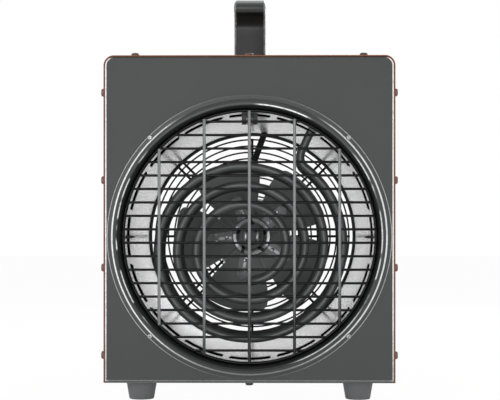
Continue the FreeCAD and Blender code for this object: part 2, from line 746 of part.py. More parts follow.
def make_outlet():
    t, crest = s.ring_sheet, -s.lip_proud
    outer, inner = s.lip_round, s.lip_round - t
    ring = lathe("OutletRing", axis_at,
                 [(Size(0), flange_r), (-t, flange_r), (-t, lip_r), (crest, lip_r), (crest, bore_r),
                  (s.ring_depth, bore_r), (s.ring_depth, bore_r + t), (crest + t, bore_r + t),
                  (crest + t, lip_r - t), (Size(0), lip_r - t)],
                 {3: outer, 4: outer, 7: inner, 8: inner})
    holes = new_sketch(ring, "XZ")
    for sx in (-1, 1):
        for sz in (-1, 1):
            circle(holes, ring_screw_r * (HALF * sx), ring_screw_r * (HALF * sz), small_hole_r)
    pocket(ring, holes)
    keep(ring, "outlet_ring")

    one = screw(s.small_screw_dia, s.small_head_dia, s.small_head_height, s.small_length, 2.5)
    placed = [aimed(one, (x, front_y - t, axis_z + z), (0, 1, 0)) for x, z in around(float(ring_screw_r), 4, 45)]
    keep(formed("OutletRingScrews", Part.makeCompound(placed)), "outlet_ring_screws")

    wire, bar, rim = float(s.guard_wire), float(s.guard_bar), float(s.guard_rim)
    rim_r = float(bore_r - s.guard_clear) - rim / 2
    rim_y = float(s.guard_depth)
    wire_y = rim_y - (rim + wire) / 2 + float(s.weld_sink)
    bar_y = wire_y - (wire + bar) / 2 + float(s.weld_sink)
    pieces, rows = [], int(s.guard_rows)
    for k in range(rows):
        z = (k - (rows - 1) / 2) * float(s.guard_pitch) + float(s.guard_lift)
        half = math.sqrt(rim_r ** 2 - z ** 2)
        pieces.append(wire_between((-half, wire_y, z), (half, wire_y, z), wire))
    for k in range(-2, 3):
        x = k * float(s.bar_pitch)
        half = math.sqrt((rim_r - 0.8) ** 2 - x ** 2)
        pieces.append(wire_between((x, bar_y, -half), (x, bar_y, half), bar))
    keep(formed("OutletGuard", hoop(rim_r, rim, rim_y).multiFuse(pieces), axis_at), "outlet_guard")


# Heating tubes: each is wound in, turned back and wound out again, with both legs through the drum wall.

class Track:
    """Path of lines and arcs that keeps its direction; points are (x, depth, height) from the axis."""

    def __init__(self, at, way):
        self.at, self.way, self.edges = Vector(*at), Vector(*way).normalize(), []

    def line(self, length):
        end = self.at + self.way * length
        self.edges.append(Part.LineSegment(self.at, end).toShape())
        self.at = end

    def bend(self, radius, angle, toward):
        """Arc by an angle in degrees, curving toward a direction square to the way."""
        toward = Vector(*toward)
        toward = (toward - self.way * toward.dot(self.way)).normalize()
        centre = self.at + toward * radius

        def place(part):
            a = math.radians(angle * part)
            return centre + (self.way * math.sin(a) - toward * math.cos(a)) * radius

        a = math.radians(angle)
        self.edges.append(Part.Arc(self.at, place(0.5), place(1.0)).toShape())
        self.at, self.way = place(1.0), (self.way * math.cos(a) + toward * math.sin(a))


tube_r = float(s.tube_dia) / 2
spiral_r = float(drum_r - s.spiral_drop - s.spiral_edge) - tube_r
spiral_pitch = (spiral_r - float(s.spiral_inner)) / float(s.spiral_turns)
outer_way = Vector(math.cos(math.radians(s.leg_lean)), 0, math.sin(math.radians(s.leg_lean)))
spiral_depths = [float(s.spiral_depth + s.spiral_step * k) for k in range(int(s.spiral_count))]


def run_to(at, way, radius):
    """Length along a way until the distance from the axis is the radius."""
    flat_at, flat_way = Vector(at.x, 0, at.z), Vector(way.x, 0, way.z)
    along = flat_at.dot(flat_way)
    return -along + math.sqrt(along ** 2 - flat_at.dot(flat_at) + radius ** 2)


def tube_track(depth):
    """Path of one double-wound heating tube, and where each leg leaves the drum."""
    start = math.radians(s.spiral_start)
    out = Vector(math.cos(start), 0, math.sin(start))
    heading = Vector(math.sin(start), 0, -math.cos(start))
    centre = Vector(-float(s.spiral_shift), depth, -float(s.spiral_drop))
    join = centre + out * spiral_r
    bend_r = float(s.leg_bend)
    sweep = math.degrees(math.acos(max(-1.0, min(1.0, (-outer_way).dot(heading)))))
    left = Vector(outer_way.z, 0, -outer_way.x)
    knee = join + out * bend_r - left * bend_r
    wall = run_to(knee, outer_way, float(drum_outer_r))
    reach = wall + float(s.leg_reach)
    track = Track(knee + outer_way * reach, -outer_way)
    track.line(reach)
    track.bend(bend_r, sweep, left)
    arcs, halves, radius = [], 2 * float(s.spiral_turns), spiral_r
    while halves > 1e-6:
        arcs.append((radius, 180 * min(halves, 1.0)))
        halves -= 1
        radius -= spiral_pitch / 2
    for radius, angle in arcs:
        track.bend(radius, angle, Vector(track.way.z, 0, -track.way.x))
    ahead, turn = Vector(track.way), float(s.spiral_step) / 4
    track.bend(turn, 90, (0, 1, 0))
    track.bend(turn, 90, -ahead)
    for radius, angle in reversed(arcs):
        track.bend(radius, angle, Vector(-track.way.z, 0, track.way.x))
    track.bend(bend_r, sweep, out)
    track.line(reach)
    hole = knee + outer_way * wall
    exits = ((hole, outer_way), (hole + Vector(0, 2 * turn, 0), outer_way))
    return track, exits


def least_gap(track):
    """Least clear distance between parts of one tube that are not neighbours along it."""
    points, run = [], []
    length = 0.0
    for edge in track.edges:
        count = max(2, int(edge.Length / 3))
        for k, p in enumerate(edge.discretize(count + 1)[:-1]):
            points.append(p)
            run.append(length + edge.Length * k / count)
        length += edge.Length
    least = 1e9
    for i in range(len(points)):
        for j in range(i + 1, len(points)):
            if run[j] - run[i] > 45:
                least = min(least, points[i].distanceToPoint(points[j]))
    return least - 2 * tube_r


def make_tubes():
    exits = []
    for depth, name in zip(spiral_depths, ("front", "rear")):
        track, ways = tube_track(depth)
        path = Part.Wire(track.edges)
        first = track.edges[0].Vertexes[0].Point
        section = Part.Wire(Part.makeCircle(tube_r, first, -outer_way))
        tube = path.makePipeShell([section], True, False)
        print("heating tube", name, "least gap to itself", round(least_gap(track), 2), "valid", tube.isValid())
        keep(formed(f"Tube_{name}", tube, axis_at), f"element_{name}")
        exits += ways
    return exits


def make_tube_fittings(exits):
    bushes, studs = [], []
    hole_r = tube_r + float(s.bush_clear)
    drum_bar = Part.makeCylinder(float(drum_outer_r), float(s.body_depth), Vector(), Vector(0, 1, 0))
    nut = [Vector(math.cos(a), math.sin(a), 0) * float(s.stud_nut / 2)
           for a in [math.radians(60 * k) for k in range(7)]]
    for at, way in exits:
        bush = Part.makeCylinder(float(s.bush_dia) / 2, float(s.bush_height) + 4, at - way * 4, way)
        bush = bush.cut(Part.makeCylinder(hole_r, 40, at - way * 20, way))
        bushes.append(bush.cut(drum_bar))
        end = at + way * float(s.leg_reach)
        stud = Part.makeCylinder(float(s.stud_dia) / 2, float(s.stud_length), end, way)
        hexagon_nut = Part.Face(Part.makePolygon(nut)).extrude(Vector(0, 0, float(s.stud_nut_height)))
        hexagon_nut.Placement = Placement(end, Rotation(Vector(0, 0, 1), way))
        studs.append(stud.fuse(hexagon_nut).removeSplitter())
    keep(formed("TubeBushes", Part.makeCompound(bushes), axis_at), "element_bushes")
    keep(formed("TubeStuds", Part.makeCompound(studs), axis_at), "element_terminals")
    joined = exits[1:-1]
    lift = float(s.leg_reach + s.stud_nut_height)
    first, last = joined[0][0], joined[-1][0]
    way = joined[0][1]
    side = Vector(way.z, 0, -way.x)
    half, over = float(s.link_width) / 2, float(s.link_width) / 2
    base = first + way * lift
    reach = last.y - first.y + over
    corners = [base + side * half - Vector(0, over, 0), base - side * half - Vector(0, over, 0),
               base - side * half + Vector(0, reach, 0), base + side * half + Vector(0, reach, 0)]
    strip = Part.Face(Part.makePolygon(corners + corners[:1])).extrude(way * float(s.link_sheet))
    for at, unused in joined:
        strip = strip.cut(Part.makeCylinder(float(s.stud_dia) / 2 + 0.2, 60, at, way))
    keep(formed("TubeLink", strip, axis_at), "element_link")


def make_drum(exits):
    body = lathe("DrumShell", axis_at,
                 [(s.drum_setback, drum_r), (s.drum_setback, drum_outer_r),
                  (s.body_depth - s.panel_sheet, drum_outer_r), (s.body_depth - s.panel_sheet, drum_r)])
    slot = new_sketch(body, "XY", drum_outer_r + 2)
    half = s.slot_length / 2
    rectangle(slot, -half, s.slot_depth - s.slot_width / 2, half, s.slot_depth + s.slot_width / 2)
    cut = pocket(body, slot, s.drum_sheet + 6)
    pattern = body.newObject("PartDesign::PolarPattern", "SlotRow")
    pattern.Originals = [cut]
    pattern.Axis = ([f for f in body.Origin.OriginFeatures if f.Role == "Y_Axis"][0], [""])
    pattern.Angle = 360
    bind(pattern, "Occurrences", s.slot_count)
    body.Tip = pattern
    holes = [Part.makeCylinder(tube_r + float(s.bush_clear), 24, at - way * 12, way) for at, way in exits]
    holes.append(lead_hole())
    depth = float(s.stay_depth)
    for way in (Vector(1, 0, 0), Vector(-1, 0, 0), Vector(0, 0, -1)):
        start = way * float(drum_r - 6) + Vector(0, depth, 0)
        holes.append(Part.makeCylinder(float(small_hole_r), 12, start, way))
    tools = formed("DrumHoles", Part.makeCompound(holes), axis_at)
    keep(less("Drum", body, tools), "heat_drum")


def make_stays():
    """Three brackets that carry the front of the drum, and their pointed screws."""
    t, foot = s.stay_sheet, s.stay_foot
    near, far = drum_outer_r + s.stay_gap, inner_half - s.stay_gap
    y0 = front_y + s.stay_depth
    a, b, c, d = y0 - foot / 2, y0 + foot / 2 - t, y0 + foot / 2, y0 + foot / 2 - t + foot
    for side, name in ((-1, "left"), (1, "right")):
        body = new_body(f"Stay_{name}")
        corners = [(near, a), (near + t, a), (near + t, b), (far, b), (far, d), (far - t, d), (far - t, c),
                   (near, c)]
        pad(body, draw(new_sketch(body, "XY", axis_z), [(x * side, y) for x, y in corners]), s.stay_width,
            both=True)
        hole = new_sketch(body, "YZ")
        circle(hole, y0, axis_z, small_hole_r)
        pocket(body, hole)
        keep(body, f"drum_bracket_{name}")
    body = new_body("Stay_bottom")
    near, far = axis_z - drum_outer_r - s.stay_gap, panel_floor + s.stay_gap
    corners = [(a, near), (a, near - t), (b, near - t), (b, far), (d, far), (d, far + t), (c, far + t),
               (c, near)]
    pad(body, draw(new_sketch(body, "YZ"), corners), s.stay_width, both=True)
    hole = new_sketch(body, "XY")
    circle(hole, Size(0), y0, small_hole_r)
    pocket(body, hole)
    keep(body, "drum_bracket_bottom")
    one = screw(s.small_screw_dia, s.small_head_dia, s.small_head_height, s.small_length + 1.5, 4.0)
    seat = float(drum_outer_r + s.stay_gap + t)
    placed = [aimed(one, (seat * x, float(y0), float(axis_z) + seat * z), (-x, 0, -z))
              for x, z in ((1, 0), (-1, 0), (0, -1))]
    keep(formed("DrumScrews", Part.makeCompound(placed)), "drum_screws")


def make_bulb():
    """Sensor bulb of the limiter under the top of the drum, in two clips."""
    r = float(s.bulb_dia) / 2
    y0, length = float(s.bulb_depth), float(s.bulb_length)
    t, wide = float(s.clip_sheet), float(s.clip_width)
    centre_z = float(drum_r) - t - r - 0.6
    bulb = Part.makeCylinder(r, length, Vector(0, y0, centre_z), Vector(0, 1, 0))
    bulb = bulb.makeFillet(r * 0.6, [e for e in bulb.Edges if e.Curve.TypeId == "Part::GeomCircle"])
    keep(formed("LimiterBulb", bulb, axis_at), "limiter_bulb")
    clips = []
    drum_bar = Part.makeCylinder(float(drum_r) - 0.05, float(s.body_depth), Vector(), Vector(0, 1, 0))
    for y in (y0 + 3, y0 + length - 3 - wide):
        outer = Part.makeBox(2 * (r + t) + 0.4, wide, 2 * r + t + 3,
                             Vector(-r - t - 0.2, y, centre_z - r * 0.6))
        inner = Part.makeBox(2 * r + 0.4, wide, 2 * r + r * 0.6 - 1.4, Vector(-r - 0.2, y, centre_z - r * 0.6))
        clips.append(outer.cut(inner).common(drum_bar))
    keep(formed("LimiterClips", Part.makeCompound(clips), axis_at), "limiter_clips")


# Fan and motor on the common axis. The motor's lead comes down from the controls through the drum wall.

motor_back = s.body_depth + s.spoke_gap - s.plate_sheet
motor_front = motor_back - s.motor_length
stack_middle = motor_back - s.motor_length / 2
stack_front, stack_rear = stack_middle - s.stack_length / 2, stack_middle + s.stack_length / 2
shaft_r = s.shaft_dia / 2
hub_back = motor_front - s.hub_gap
hub_front = hub_back - s.hub_length
fan_plane = hub_back - s.hub_length / 2
nut_front = hub_front - s.hub_nut_length
lead_way = Vector(math.cos(math.radians(s.lead_lean)), 0, math.sin(math.radians(s.lead_lean)))
lead_at = Vector(float(s.lead_x), float(stack_middle), math.sqrt(float(drum_outer_r) ** 2 - float(s.lead_x) ** 2))
lead_rise = float(drum_outer_r + s.shelf_rise + s.shelf_sheet + s.lead_reach) - lead_at.z


def lead_hole():
    """Hole for the motor lead through the drum wall and the shelf above it."""
    reach = lead_rise / lead_way.z
    return Part.makeCylinder(float(s.lead_dia / 2 + s.lead_clear), 2 * reach, lead_at - lead_way * reach, lead_way)


def make_lead():
    inward = float(drum_outer_r)
    bar = Part.makeCylinder(float(s.lead_dia) / 2, inward + lead_rise / lead_way.z, lead_at - lead_way * inward,
                            lead_way)
    stator = Part.makeCylinder(float(s.motor_dia / 2 + s.lead_clear), float(s.body_depth), Vector(), Vector(0, 1, 0))
    pieces = bar.cut(stator).Solids
    keep(formed("MotorLead", max(pieces, key=lambda solid: solid.CenterOfMass.z), axis_at), "motor_lead")


def make_fan():
    plane, camber, sheet_t = float(fan_plane), float(s.blade_camber), float(s.blade_sheet)
    room = float(s.fan_dia) / 4
    pitch = math.radians(s.blade_pitch)
    centre = Vector(0, plane - camber * math.cos(pitch), camber * math.sin(pitch))

    def shell(outer, inner):
        reach = float(s.fan_dia)
        outside = Part.makeCylinder(outer, reach, centre, Vector(1, 0, 0))
        return outside.cut(Part.makeCylinder(inner, reach, centre, Vector(1, 0, 0)))

    def prism(points):
        face = Part.Face(Part.makePolygon(points + points[:1]))
        return face.extrude(Vector(0, room * 2, 0))

    def bar(radius):
        return Part.makeCylinder(radius, room * 2, Vector(0, plane - room, 0), Vector(0, 1, 0))

    def at(radius, angle):
        a = math.radians(angle)
        return Vector(radius * math.cos(a), plane - room, radius * math.sin(a))

    tip, root = float(s.fan_dia) / 2, float(s.blade_root)
    outline = [at(root, 30), at(root * 1.7, 33), at(tip * 0.72, 31), at(tip * 0.9, 28), at(tip * 1.1, 20)]
    outline += [at(tip * 1.1, -24), at(tip * 0.9, -29), at(tip * 0.7, -31), at(root * 1.7, -32)]
    blade = prism(outline + [at(root, -30)]).common(shell(camber, camber - sheet_t))
    blade = blade.common(bar(tip)).cut(bar(root))
    width, reach = float(s.arm_width) / 2, float(s.arm_reach)
    low, foot = plane - room, float(s.hub_dia) * 0.3
    arm = prism([Vector(foot, low, -width), Vector(reach, low, -width * 0.7), Vector(reach * 1.085, low, 0),
                 Vector(reach, low, width * 0.7), Vector(foot, low, width)])
    arm = arm.common(shell(camber - sheet_t, camber - sheet_t - float(s.arm_sheet)))
    turns = [Rotation(Vector(0, 1, 0), -float(s.blade_first) - 360.0 * k / float(s.blade_count))
             for k in range(int(s.blade_count))]
    spun = [Placement(Vector(), turn) for turn in turns]
    blades = [blade.transformed(p.toMatrix()) for p in spun]
    arms = [arm.transformed(p.toMatrix()) for p in spun]
    keep(formed("FanBlades", Part.makeCompound(blades), axis_at), "fan_blades")
    hub = Part.makeCylinder(float(s.hub_dia) / 2, float(s.hub_length), Vector(0, float(hub_front), 0),
                            Vector(0, 1, 0))
    disc_t = float(s.hub_disc_sheet)
    disc = Part.makeCylinder(float(s.hub_disc_dia) / 2, disc_t, Vector(0, plane - disc_t * 1.25, 0),
                             Vector(0, 1, 0))
    spider = hub.multiFuse([disc] + arms).cut(bar(float(shaft_r + s.shaft_clear)))
    keep(formed("FanSpider", spider.removeSplitter(), axis_at), "fan_spider")
    nut_r = s.hub_nut_dia / 2
    nut = lathe("HubNut", axis_at, [(nut_front, Size(0)), (nut_front, nut_r), (hub_front, nut_r),
                                    (hub_front, shaft_r + s.shaft_clear),
                                    (hub_front - s.hub_nut_length + 3, shaft_r + s.shaft_clear),
                                    (hub_front - s.hub_nut_length + 3, Size(0))], {1: Size(3)})
    keep(nut, "fan_nut")


def make_motor():
    wall, end = s.motor_wall, s.motor_end
    outer, inner = s.motor_dia / 2, s.motor_dia / 2 - wall
    seat = s.bearing_dia / 2 + 0.02
    boss = seat + 3
    through = shaft_r + 1
    for name, face, way, rim in (("front", motor_front, 1, stack_front), ("rear", motor_back, -1, stack_rear)):
        inside = face + end * way
        deep = inside + (s.bearing_width + 1) * way
        shield = lathe(f"Shield_{name}", axis_at,
                       [(face, through), (face, outer), (rim, outer), (rim, inner), (inside, inner),
                        (inside, boss), (deep, boss), (deep, seat), (inside, seat), (inside, through)])
        if name == "rear":
            holes = new_sketch(shield, "XZ", motor_back)
            for x, z in around(s.motor_screw_circle / 2, 4, 22.5):
                circle(holes, x, z, small_hole_r)
            pocket(shield, holes, end * 2, back=True)
        keep(shield, f"motor_shield_{name}")
        start = inside if way > 0 else inside - s.bearing_width
        ring = less(f"Bearing_{name}", rod(f"BearingBar_{name}", (0, front_y + start, axis_z),
                                           s.bearing_dia / 2, s.bearing_width),
                    rod(f"BearingBore_{name}", (0, front_y + start - 1, axis_z), shaft_r + s.shaft_clear,
                        s.bearing_width + 2))
        keep(ring, f"motor_bearing_{name}")
    bore = s.rotor_dia / 2 + s.air_gap
    stack = less("Stator", rod("StatorBar", (0, front_y + stack_front, axis_z), outer, s.stack_length),
                 rod("StatorBore", (0, front_y + stack_front - 1, axis_z), bore, s.stack_length + 2))
    keep(stack, "motor_stator")
    coils = []
    for y in (stack_front - s.winding_length, stack_rear):
        coil = Part.makeCylinder(float(s.winding_dia) / 2, float(s.winding_length), Vector(0, float(y), 0),
                                 Vector(0, 1, 0))
        coil = coil.cut(Part.makeCylinder(float(s.winding_bore) / 2, float(s.winding_length),
                                          Vector(0, float(y), 0), Vector(0, 1, 0)))
        coils.append(coil.makeFillet(2.5, coil.Edges))
    keep(formed("Windings", Part.makeCompound(coils), axis_at), "motor_windings")
    rotor = less("Rotor", rod("RotorBar", (0, front_y + stack_front, axis_z), s.rotor_dia / 2, s.stack_length),
                 rod("RotorBore", (0, front_y + stack_front - 1, axis_z), shaft_r + s.shaft_clear,
                     s.stack_length + 2))
    keep(rotor, "motor_rotor")
    shaft_start = hub_front - s.hub_nut_length + 4
    shaft = rod("Shaft", (0, front_y + shaft_start, axis_z), shaft_r, motor_back - 1 - shaft_start)
    keep(shaft, "motor_shaft")
    plate = less("MotorPlateCut", rod("MotorPlateBar", (0, front_y + motor_back, axis_z), s.plate_dia / 2,
                                      s.plate_sheet),
                 formed("MotorPlateHoles", Part.makeCompound(
                     [Part.makeCylinder(float(small_hole_r), 20, Vector(x, float(motor_back) - 10, z),
                                        Vector(0, 1, 0))
                      for x, z in around(float(s.motor_screw_circle) / 2, 4, 22.5)]), axis_at))
    keep(plate, "motor_plate")
    one = screw(s.small_screw_dia, s.small_head_dia, s.small_head_height, s.plate_sheet + s.motor_end - 0.5)
    seat_y = float(front_y + motor_back + s.plate_sheet)
    placed = [aimed(one, (x, seat_y, float(axis_z) + z), (0, -1, 0))
              for x, z in around(float(s.motor_screw_circle) / 2, 4, 22.5)]
    keep(formed("MotorScrews", Part.makeCompound(placed)), "motor_screws")


def make_rear_guard():
    wire, thin = float(s.spoke_wire), float(s.ring_wire)
    y = float(s.body_depth + s.spoke_gap) + wire / 2
    apart = float(s.spoke_pair) / 2
    inner_end = float(s.plate_dia) / 2 - 14
    outer_end = float(inlet_r + s.spoke_lap) + 4
    pieces = []
    for k in range(4):
        turn = Placement(Vector(), Rotation(Vector(0, 1, 0), 45 + 90 * k))
        bend = Part.makeTorus(apart, wire / 2, Vector(outer_end, y, 0), Vector(0, 1, 0))
        bend = bend.common(Part.makeBox(20, 20, 40, Vector(outer_end, y - 10, -20)))
        pair = [wire_between((inner_end, y, side * apart), (outer_end, y, side * apart), wire)
                for side in (-1, 1)]
        loop = pair[0].multiFuse([pair[1], bend])
        pieces.append(loop.transformed(turn.toMatrix()))
        turn = Placement(Vector(), Rotation(Vector(0, 1, 0), 90 * k))
        plain = wire_between((inner_end, y, 0), (float(inlet_r) - 3, y, 0), wire)
        pieces.append(plain.transformed(turn.toMatrix()))
    ring_y = y + (wire + thin) / 2 - float(s.weld_sink)
    largest = float(inlet_r) - 4
    hoops = [hoop(largest - float(s.ring_pitch) * k, thin, ring_y) for k in range(int(s.ring_count))]
    keep(formed("RearGuard", hoops[0].multiFuse(hoops[1:] + pieces), axis_at), "rear_guard")
    one = screw(s.screw_dia, 11, s.screw_head_height, s.screw_length, 3.0)
    seat = float(front_y + s.body_depth + s.spoke_gap + s.spoke_wire)
    placed = [aimed(one, (x, seat, float(axis_z) + z), (0, -1, 0))
              for x, z in around(float(inlet_r + s.spoke_lap), 4, 45)]
    keep(formed("RearGuardScrews", Part.makeCompound(placed)), "rear_guard_screws")


# Controls at the rear top, on a shelf above the drum.

inner_face = rear_y - s.panel_sheet


def make_knob(name, x):
    body = lathe(f"Knob_{name}", (x, rear_y, control_z),
                 [(s.knob_gap, s.spindle_dia / 2 + 0.01), (s.knob_gap, s.knob_dia / 2),
                  (s.knob_gap + s.knob_skirt, s.knob_dia / 2),
                  (s.knob_gap + s.knob_skirt, s.knob_bar / 2),
                  (s.knob_gap + s.spindle_grip + 2, s.knob_bar / 2),
                  (s.knob_gap + s.spindle_grip + 2, Size(0)),
                  (s.knob_gap + s.spindle_grip, Size(0)),
                  (s.knob_gap + s.spindle_grip, s.spindle_dia / 2 + 0.01)], {2: Size(1.5)})
    bar = new_sketch(body, "XZ", s.knob_gap + s.knob_skirt - 1)
    half, reach = s.knob_bar / 2, s.knob_dia / 2 - 2
    rectangle(bar, -half, -reach, half, reach)
    grip = pad(body, bar, s.knob_height - s.knob_skirt + 1, back=True)
    crown = float(s.knob_gap + s.knob_height)
    fold(body, grip, Size(2), lambda e: min(v.Point.y for v in e.Vertexes) > crown - 1e-4)
    hole = new_sketch(body, "XZ", s.knob_gap)
    circle(hole, Size(0), Size(0), s.spindle_dia / 2 + 0.01)
    pocket(body, hole, s.spindle_grip, back=False)
    return body


def make_control(name, x, deep):
    """Control body behind the panel, its spindle and its knob."""
    side = s.control_side
    body = block(f"ControlBlock_{name}", (x - side / 2, inner_face - deep, control_z - side / 2), side, deep, side)
    bore = rod(f"ControlBore_{name}", (x, inner_face - s.spindle_depth - 1, control_z),
               s.spindle_dia / 2 + s.spindle_clear, s.spindle_depth + 2)
    keep(less(f"Control_{name}", body, bore), f"{name}_body")
    length = s.spindle_depth + s.panel_sheet + s.knob_gap + s.spindle_grip - 0.5
    keep(rod(f"Spindle_{name}", (x, inner_face - s.spindle_depth, control_z), s.spindle_dia / 2, length),
         f"{name}_spindle")
    keep(make_knob(name, x), f"{name}_knob")


def make_limiter():
    x, side = -s.limiter_x, s.limiter_side
    bore_depth = s.button_depth + s.button_travel + 2
    hole_r = s.button_dia / 2 + s.button_clear
    body = block("LimiterBlock", (x - side / 2, inner_face - s.limiter_deep, control_z - side / 2), side,
                 s.limiter_deep, side)
    keep(less("Limiter", body, rod("LimiterBore", (x, inner_face - bore_depth, control_z), hole_r,
                                   bore_depth + 1)), "limiter_body")
    collar = less("Collar", rod("CollarBar", (x, rear_y, control_z), s.collar_dia / 2, s.collar_proud),
                  rod("CollarBore", (x, rear_y - 1, control_z), hole_r, s.collar_proud + 2))
    keep(collar, "reset_collar")
    button = lathe("Button", (x, rear_y, control_z),
                   [(-s.panel_sheet - s.button_depth, Size(0)), (-s.panel_sheet - s.button_depth, s.button_dia / 2),
                    (s.button_proud, s.button_dia / 2), (s.button_proud, Size(0))], {2: Size(1)})
    keep(button, "reset_button")


def make_gland():
    x, thread_r, cable_r = s.gland_x, s.gland_thread / 2, s.cable_dia / 2
    hexed = hexagon("GlandHex", (x, rear_y, control_z), s.gland_across, s.gland_hex)
    cap = lathe("GlandCap", (x, rear_y, control_z),
                [(s.gland_hex - 1, Size(0)), (s.gland_hex - 1, s.gland_across / 2 - 2.5),
                 (s.gland_hex + s.gland_nose, s.gland_across / 2 - 4), (s.gland_hex + s.gland_nose, Size(0))])
    neck_length = s.panel_sheet + s.locknut_height + 4
    neck = rod("GlandNeck", (x, rear_y - neck_length, control_z), thread_r, neck_length + 1)
    bore = rod("GlandBore", (x, rear_y - neck_length - 1, control_z), cable_r,
               neck_length + s.gland_hex + s.gland_nose + 2)
    keep(less("Gland", joined("GlandSolid", [hexed, cap, neck]), bore), "cable_gland")
    nut = less("Locknut", hexagon("LocknutHex", (x, inner_face - s.locknut_height, control_z), s.gland_across,
                                  s.locknut_height),
               rod("LocknutBore", (x, inner_face - s.locknut_height - 1, control_z), thread_r + s.screw_clear,
                   s.locknut_height + 2))
    keep(nut, "gland_locknut")


def make_shelf():
    t = s.shelf_sheet
    low = axis_z + drum_outer_r + s.shelf_rise
    edge = rear_y - s.shelf_depth
    body = new_body("Shelf")
    half = panel_half - s.panel_sheet - 0.5
    corners = [(edge, low), (inner_face, low), (inner_face, low + t), (edge + t, low + t),
               (edge + t, panel_top - 0.3), (edge, panel_top - 0.3)]
    pad(body, draw(new_sketch(body, "YZ"), corners), half * 2 - s.corner_radius, both=True)
    keep(less("ShelfCut", body, formed("ShelfHole", lead_hole(), axis_at)), "control_shelf")
    length, deep, high = s.block_length, s.block_depth, s.block_height
    y0 = rear_y - s.block_inset - deep / 2
    solid = block("TerminalSolid", (-length / 2, y0, low + t), length, deep, high)
    poles = int(s.block_poles)
    pitch = float(length) / poles
    wells = []
    for k in range(poles):
        x = (k - (poles - 1) / 2) * pitch
        wells.append(Part.makeCylinder(2.6, 6, Vector(x, float(y0 + deep / 2), float(low + t + high) - 6)))
        for y in (float(y0) - 1, float(y0 + deep) - 5):
            wells.append(Part.makeBox(5, 6, 5, Vector(x - 2.5, y, float(low + t) + 5)))
    keep(less("TerminalBlock", solid, formed("TerminalWells", Part.makeCompound(wells))), "terminal_block")


def main():
    make_cover()
    make_panels()
    make_base()
    make_casing_screws()
    make_feet()
    make_handle()
    make_outlet()
    exits = make_tubes()
    make_tube_fittings(exits)
    make_drum(exits)
    make_stays()
    make_bulb()
    make_fan()
    make_motor()
    make_lead()
    make_rear_guard()
    make_control("thermostat", s.thermostat_x, s.thermostat_deep)
    make_control("selector", -s.selector_x, s.selector_deep)
    make_limiter()
    make_gland()
    make_shelf()
    doc.recompute()
    faults = [f"{o.Name}: {o.State}" for o in doc.Objects if "Invalid" in o.State or "Error" in o.State]
    for node in nodes:
        if node.Shape.isNull() or not node.Shape.isValid() or not node.Shape.Solids:
            faults.append(f"{node.Label}: bad shape")
    if faults:
        raise RuntimeError("; ".join(faults))
    os.makedirs("parts", exist_ok=True)
    for node in nodes:
        node.Shape.exportStep(f"parts/{node.Label}.step")
    print(len(nodes), "pieces written")


main()
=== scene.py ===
import math

import bpy
import numpy as np
from bpy.props import FloatProperty, FloatVectorProperty, IntProperty, PointerProperty
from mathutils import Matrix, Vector


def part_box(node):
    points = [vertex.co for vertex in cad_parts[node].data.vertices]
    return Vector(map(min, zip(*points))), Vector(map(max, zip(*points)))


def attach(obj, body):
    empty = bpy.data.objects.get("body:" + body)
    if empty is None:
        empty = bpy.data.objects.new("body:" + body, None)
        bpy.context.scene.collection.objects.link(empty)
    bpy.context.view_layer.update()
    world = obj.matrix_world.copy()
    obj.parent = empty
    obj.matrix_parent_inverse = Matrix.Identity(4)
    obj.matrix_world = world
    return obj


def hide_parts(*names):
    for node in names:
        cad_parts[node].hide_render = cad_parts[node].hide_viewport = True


bl_info = {
    "name": "Fan heater dressing",
    "version": (1, 0, 0),
    "blender": (4, 5, 0),
    "location": "3D View > Sidebar > Fan heater",
    "description": "Skins, guards, fan and finishes of a portable fan heater, laid over its solid model",
    "category": "Object",
}

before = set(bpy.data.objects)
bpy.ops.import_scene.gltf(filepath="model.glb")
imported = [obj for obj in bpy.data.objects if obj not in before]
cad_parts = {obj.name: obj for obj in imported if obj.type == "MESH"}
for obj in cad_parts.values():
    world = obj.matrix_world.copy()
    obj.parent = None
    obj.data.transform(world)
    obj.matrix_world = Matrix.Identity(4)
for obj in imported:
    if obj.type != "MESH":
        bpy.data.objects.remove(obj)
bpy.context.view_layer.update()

# Places that several pieces share, read from the solid model, in metres.
COVER_LOW, COVER_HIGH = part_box("casing_wrap")
PANEL_LOW, PANEL_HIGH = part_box("front_panel")
RING_LOW, RING_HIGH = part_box("outlet_ring")
DRUM_LOW, DRUM_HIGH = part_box("heat_drum")
HANDLE_LOW, HANDLE_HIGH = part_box("handle")
FRONT_Y = PANEL_LOW.y
REAR_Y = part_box("rear_panel")[1].y
AXIS_Z = (DRUM_LOW.z + DRUM_HIGH.z) / 2
AXIS = np.array((0.0, FRONT_Y, AXIS_Z))
HEATER = "heater"

# Distance of the extra points that keep the flats beside a bend flat.
HOLD = 0.0003

# Edges that turn by more than this are drawn sharp.
SHARP = math.radians(38)


# Settings.

def length(name, description, default):
    return FloatProperty(name=name, description=description, default=default, min=0.0, precision=5,
                         unit="LENGTH", subtype="DISTANCE")


def slope(name, description, degrees):
    return FloatProperty(name=name, description=description, default=math.radians(degrees), unit="ROTATION",
                         subtype="ANGLE")


def number(name, description, default):
    return IntProperty(name=name, description=description, default=default, min=1)


def level(name, description, default):
    return FloatProperty(name=name, description=description, default=default, min=0.0)


def mixed(red, green, blue):
    """Linear colour from the 0 to 255 values that a paint card gives."""
    card = np.array((red, green, blue)) / 255.0
    linear = np.where(card <= 0.04045, card / 12.92, ((card + 0.055) / 1.055) ** 2.4)
    return tuple(float(v) for v in linear)


def colour(name, description, *card):
    return FloatVectorProperty(name=name, description=description, default=mixed(*card), size=3, min=0.0, max=1.0,
                               subtype="COLOR")


